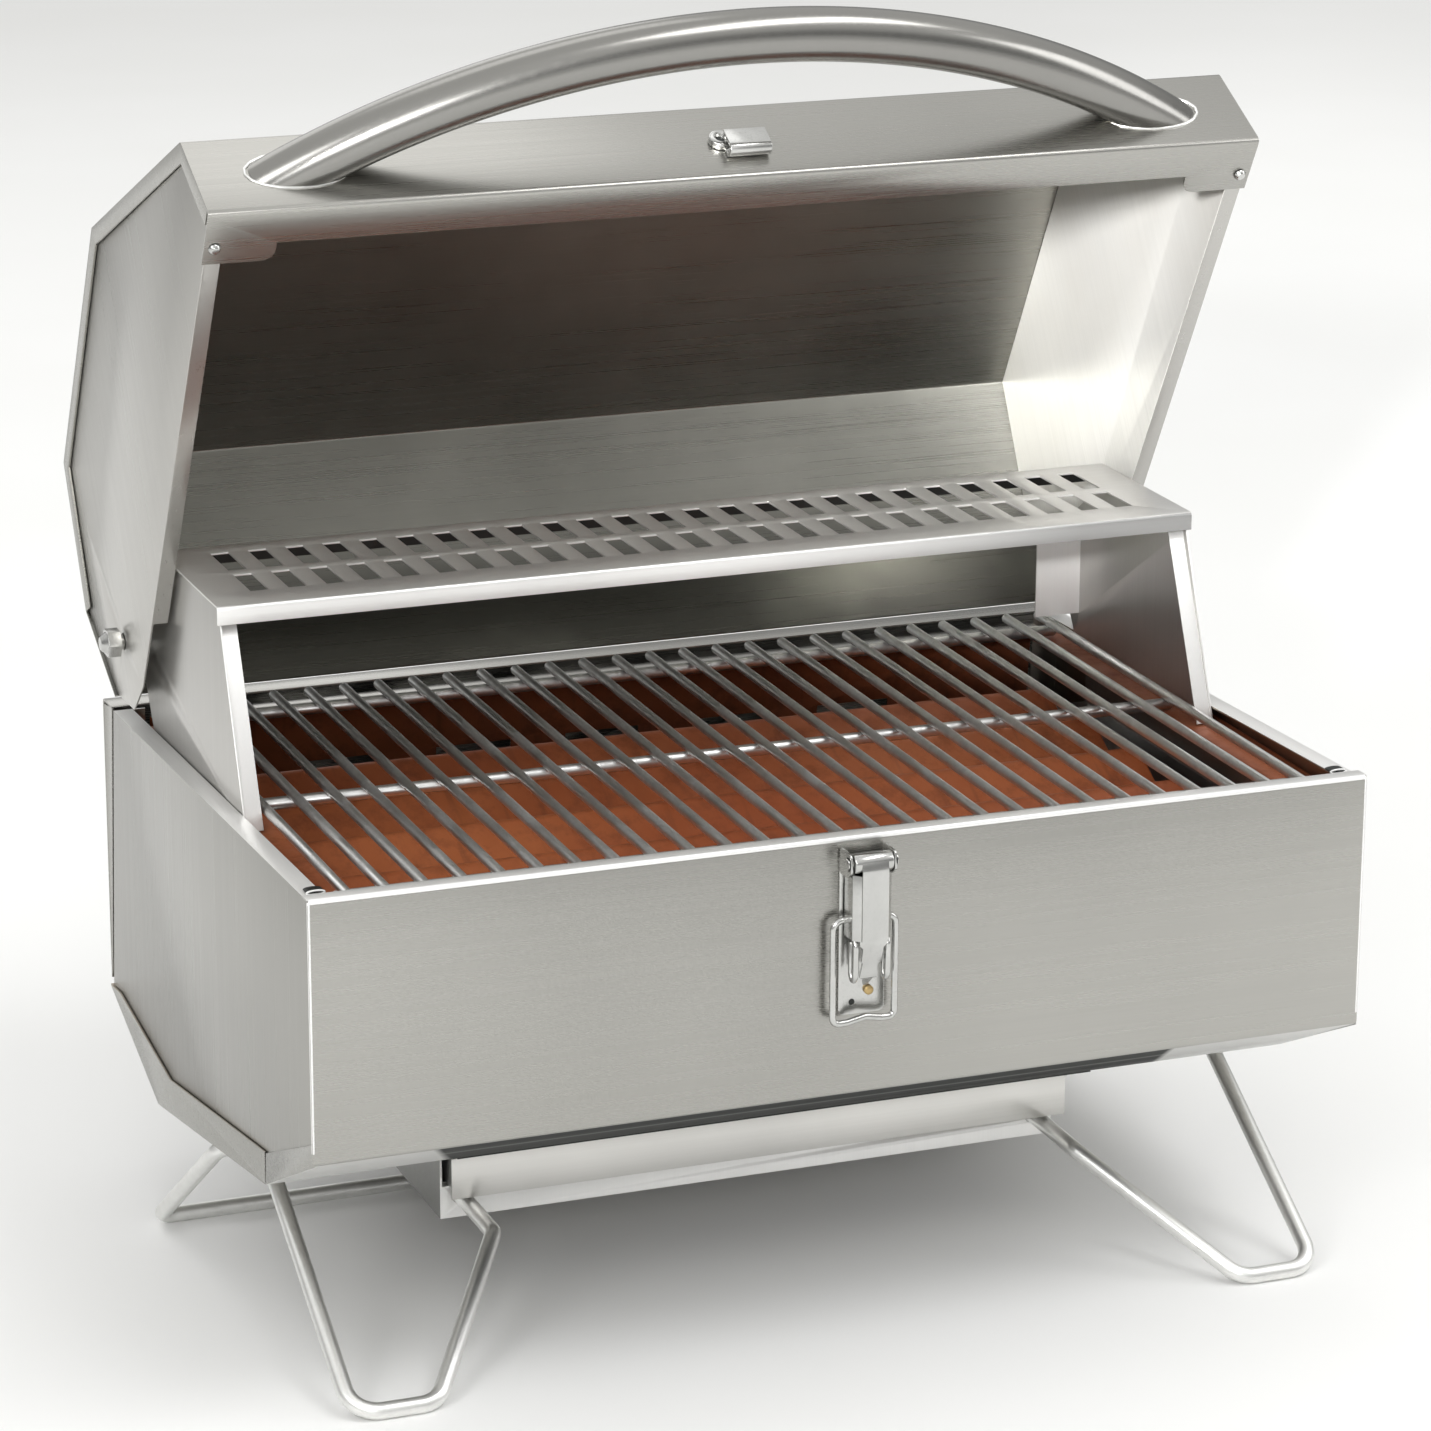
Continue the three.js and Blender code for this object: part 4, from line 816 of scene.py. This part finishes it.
def latch_bail():
    """The wire loop: its two ends turn into the lever's cheeks, and its foot bar has a shallow wave."""
    inside, left, right, foot, wave, radius = 7.4, -16.2, 14.4, 164.8, 1.7, 1.6
    loop = [(-inside, BAIL_Z), (left, BAIL_Z - 1), (left, foot - 0.4), (-9, foot - 0.2), (0, foot + wave),
            (8, foot + 0.3), (right, foot + 0.3), (right, BAIL_Z - 1), (inside, BAIL_Z)]
    path = [on_latch(p.x, p.y, p.z) for p in rounded([(x, BAIL_Y, z) for x, z in loop], 5.0, 10)]
    piece("bail_wire", [wire(path, radius * MM)], polished, "bail", ["latch_bail"])


latch_plate()
latch_lever()
latch_pin()
latch_bail()


# ---- warming rack -------------------------------------------------------------------------------------
def rack():
    """A deck bent down at its front and rear, with two rows of slots punched through it."""
    top, front, rear, half, flange, thickness = 337.8, 173, 279, 250, 9, 1
    pitch, slot, count = 18.6, 9, 25
    deck_middle = at(0, (front + rear) / 2, 0).y
    rows = [(front + 22, front + 52), (front + 60, rear - 14)]
    ends = rounded([(front, top - flange), (front, top), (rear, top), (rear, top - flange)], 2, 5)
    middle = len(ends) // 2
    cuts = [Vector((y, top)) for row in rows for y in row]
    stations = ends[:middle] + cuts + ends[middle:]
    columns = [-half]
    for i in range(count):
        x = (i - (count - 1) / 2) * pitch
        columns += [x - slot / 2, x + slot / 2]
    columns.append(half)
    mesh = bpy.data.meshes.new("rack_deck")
    points = [at(x, p.x, p.y) for p in stations for x in columns]
    faces = []
    for row in range(len(stations) - 1):
        y = (stations[row].x + stations[row + 1].x) / 2
        punched = any(low < y < high for low, high in rows)
        for column in range(len(columns) - 1):
            if punched and column % 2:
                continue
            a = row * len(columns) + column
            faces.append([a, a + 1, a + 1 + len(columns), a + len(columns)])
    mesh.from_pydata(points, [], faces)
    for material in (rack_steel, lit_rack_front, dark_steel):
        mesh.materials.append(material)
    # Faces that look forward take painted light, and faces that look back painted shade.
    for face in mesh.polygons:
        if abs(face.normal.y) > 0.6:
            face.material_index = 1 if face.center.y < deck_middle else 2
    deck = bpy.data.objects.new("rack_deck", mesh)
    bpy.context.scene.collection.objects.link(deck)
    sheet = deck.modifiers.new("sheet", "SOLIDIFY")
    sheet.thickness = thickness * MM
    sheet.offset = -1
    soften(deck, SHEET_BEVEL)
    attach(deck, "tub")
    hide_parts("warming_rack")


rack()


# ---- grate, legs --------------------------------------------------------------------------------------
def grate():
    """Round bars turned down at the front, welded on three cross bars."""
    half, bars, top, front, rear, radius = 236, 27, 246, 16, 322, 2.5
    cross_bars, cross_radius, overhang = (30, 168, 308), 3, 2.5
    parts = []
    for i in range(bars):
        x = half * (2 * i / (bars - 1) - 1)
        path = rounded([(x, front, top - 6), (x, front, top), (x, rear, top)], 3, 5)
        parts.append(wire([at(*p) for p in path], radius * MM, 14))
    for y in cross_bars:
        bar = [at(x, y, top - radius - 2.2) for x in (-half - overhang, 0, half + overhang)]
        parts.append(wire(bar, cross_radius * MM, 14))
    piece("grate_wires", parts, grate_steel, "grate", ["cooking_grate"])


WIRE, FOOT_Z = 4, 3.7


def leg(name, points, radii, body, node):
    """A leg bent from one round bar, with what would reach below the standing surface ground off."""
    path = [at(*p) for p in rounded(points, radii, 10)]
    rod = piece(name, [wire(path, WIRE * MM, 28)], leg_steel, body, [node])
    trim(rod, (0, 0, TINY_MM * MM), (0, 0, 1))


def front_leg(side, word):
    """The arm that ends straight under the pan, the foot, and the arm that turns in the tray's frame."""
    foot_y, outer, inner, pivot_x, pivot_z = 0.6, 243.4, 203, 149.8, 48.2
    points = [(244, 123, 76), (outer, foot_y, FOOT_Z), (inner, foot_y, FOOT_Z), (pivot_x, 78.5, pivot_z),
              (pivot_x, 196, pivot_z)]
    leg(f"front_leg_rod_{word}", [(side * x, y, z) for x, y, z in points], [14, 14, 7],
        f"{word}_front_leg", f"front_leg_{word}")


def rear_leg():
    """One bar with a long foot that stands further out on the left than on the right."""
    pivot_y, pivot_z, foot_y, left, right, lean, stub = 186, 64.2, 256, -265, 218, 12.5, 26.5
    points = [(right - lean - stub, pivot_y, pivot_z), (right - lean, pivot_y, pivot_z),
              (right, foot_y, FOOT_Z), (left, foot_y, FOOT_Z), (left + lean, pivot_y, pivot_z),
              (left + lean + stub, pivot_y, pivot_z)]
    leg("rear_leg_rod", points, 6.5, "rear_leg", "rear_leg")


grate()
front_leg(1, "right")
front_leg(-1, "left")
rear_leg()


# ---- controls -----------------------------------------------------------------------------------------
CONTROL_X, KNOB_Y, KNOB_Z, IGNITER_Y = 274, 168, 172, 226


def knob():
    """A fluted knob with a skirt, a grip bar and a pale pointer line."""
    start, flutes, flute_depth = CONTROL_X + 1.2, 18, 0.035

    def placed(station, a, b):
        return at(start + station, KNOB_Y + a, KNOB_Z + b)

    skirt = turned([(0, 21.2), (0.6, 22), (3.6, 21.6), (5, 20.4)], placed, 72)
    grip_profile = [(4.2, 17.4), (5.5, 17.6), (20.5, 16.0), (22.6, 15.2), (23.8, 13.4)]

    def flute(angle, station):
        return 1 - (flute_depth * (0.5 + 0.5 * math.cos(flutes * angle)) if 5 < station < 22 else 0)

    grip = turned(grip_profile, placed, 144, flute)
    bar = closed_round([(-18, -4.2), (18, -4.2), (18, 4.2), (-18, 4.2)], 3.6)
    ridge = prism(bar, 18, 26.6, lambda z, y, x: placed(x, y, z))
    piece("knob_body", [skirt, grip, ridge], black_plastic, "knob", ["control_knob"], 0.5)
    line = closed_round([(5, -0.8), (16.5, -0.8), (16.5, 0.8), (5, 0.8)], 0.6)
    piece("knob_pointer", [prism(line, 26.5, 26.9, lambda z, y, x: placed(x, y, z))], pale_mark, "knob")


def igniter_button():
    """A round button with a softened edge."""
    cap = turned([(-6, 5.9), (6, 5.9), (7.2, 5.5), (7.9, 4.6), (8.0, 1.0)],
                 lambda x, a, b: at(CONTROL_X + x, IGNITER_Y + a, KNOB_Z + b), 36)
    piece("igniter_cap", [cap], black_plastic, "igniter", ["igniter_button"])


def control_screws():
    """Four domed screw heads at the control plate's corners."""
    head = [(0.05, 3.4), (0.7, 3.3), (1.5, 2.6), (1.9, 1.4), (1.95, 0.3)]
    parts = []
    for y, z in ((132, 144), (252, 144), (132, 200), (252, 200)):
        parts.append(turned(head, lambda x, a, b, y=y, z=z: at(CONTROL_X + x, y + a, z + b), 28))
    piece("control_screws", parts, polished, "tub")


knob()
igniter_button()
control_screws()


# ---- studio -------------------------------------------------------------------------------------------
def floor():
    """The pale surface that the grill stands on."""
    mesh = bpy.data.meshes.new("floor")
    reach = 14
    mesh.from_pydata([(-reach, -reach, 0), (reach, -reach, 0), (reach, reach, 0), (-reach, reach, 0)], [],
                     [(0, 1, 2, 3)])
    finish = Finish("pale_floor", Roughness=0.6)
    soft = finish.noise(finish.place(), 3.0, 2.0, 0.5)
    tone = finish.blend(finish.span(soft, 0, 1, 0.3, 0.7), (0.86, 0.86, 0.85), (0.88, 0.88, 0.875))
    finish.give("Base Color", tone)
    mesh.materials.append(finish.material)
    obj = bpy.data.objects.new("floor", mesh)
    bpy.context.scene.collection.objects.link(obj)


def hang(data, place, target):
    """Puts a lamp at a place and aims it at a target, both in metres."""
    lamp = bpy.data.objects.new(data.name, data)
    lamp.location = place
    lamp.rotation_euler = (Vector(place) - Vector(target)).to_track_quat("Z", "Y").to_euler()
    bpy.context.scene.collection.objects.link(lamp)


def softbox(name, place, target, size, power):
    """A soft rectangular light, with its width and height in metres."""
    data = bpy.data.lights.new(name, "AREA")
    data.shape = "RECTANGLE"
    data.size, data.size_y = size
    data.energy = power
    hang(data, place, target)


def spot(name, place, target, cone_deg, power):
    """A soft round pool of light."""
    data = bpy.data.lights.new(name, "SPOT")
    data.energy = power
    data.spot_size = math.radians(cone_deg)
    data.spot_blend = 1
    data.shadow_soft_size = 0.12
    hang(data, place, target)


def sky():
    """A white studio: bright overhead, with a darker band round the horizon that steel can mirror.

    levels holds pairs of height, from the horizon at 0 to straight up at 1, and brightness.
    """
    world = bpy.data.worlds.new("studio")
    world.use_nodes = True
    tree = world.node_tree
    background = tree.nodes["Background"]
    coord = tree.nodes.new("ShaderNodeTexCoord")
    split = tree.nodes.new("ShaderNodeSeparateXYZ")
    ramp = tree.nodes.new("ShaderNodeValToRGB")
    levels = [(0.0, 0.50), (0.10, 0.30), (0.26, 0.34), (0.45, 0.75), (0.75, 0.92)]
    while len(ramp.color_ramp.elements) < len(levels):
        ramp.color_ramp.elements.new(0.5)
    for element, (position, level) in zip(ramp.color_ramp.elements, levels):
        element.position = position
        element.color = (level, level, level * 0.985, 1)
    tree.links.new(coord.outputs["Generated"], split.inputs[0])
    tree.links.new(split.outputs["Z"], ramp.inputs[0])
    tree.links.new(ramp.outputs[0], background.inputs["Color"])
    background.inputs["Strength"].default_value = 1.0
    bpy.context.scene.world = world


floor()
sky()
softbox("key", (-2.4, -1.9, 1.9), (0, 0, 0.35), (1.2, 1.2), 26)
softbox("overhead_front", (1.0, -1.1, 2.7), (0.1, -0.2, 0.3), (1.9, 0.7), 22)
softbox("overhead_rear", (-0.1, 0.9, 2.9), (0, 0.1, 0.5), (1.5, 1.0), 4)
softbox("inside", (-0.9, -2.2, 0.95), (0.25, 0.15, 0.5), (0.6, 0.6), 9)
spot("right_wall", (-0.9, -1.7, 1.05), (0.25, 0.22, 0.465), 11, 880)
softbox("side", (2.4, -0.9, 1.3), (0, 0, 0.35), (0.9, 1.5), 12)
softbox("rear", (-0.5, 2.6, 1.9), (0, 0, 0.4), (2.6, 1.8), 13)
bpy.context.scene.view_settings.view_transform = "Standard"
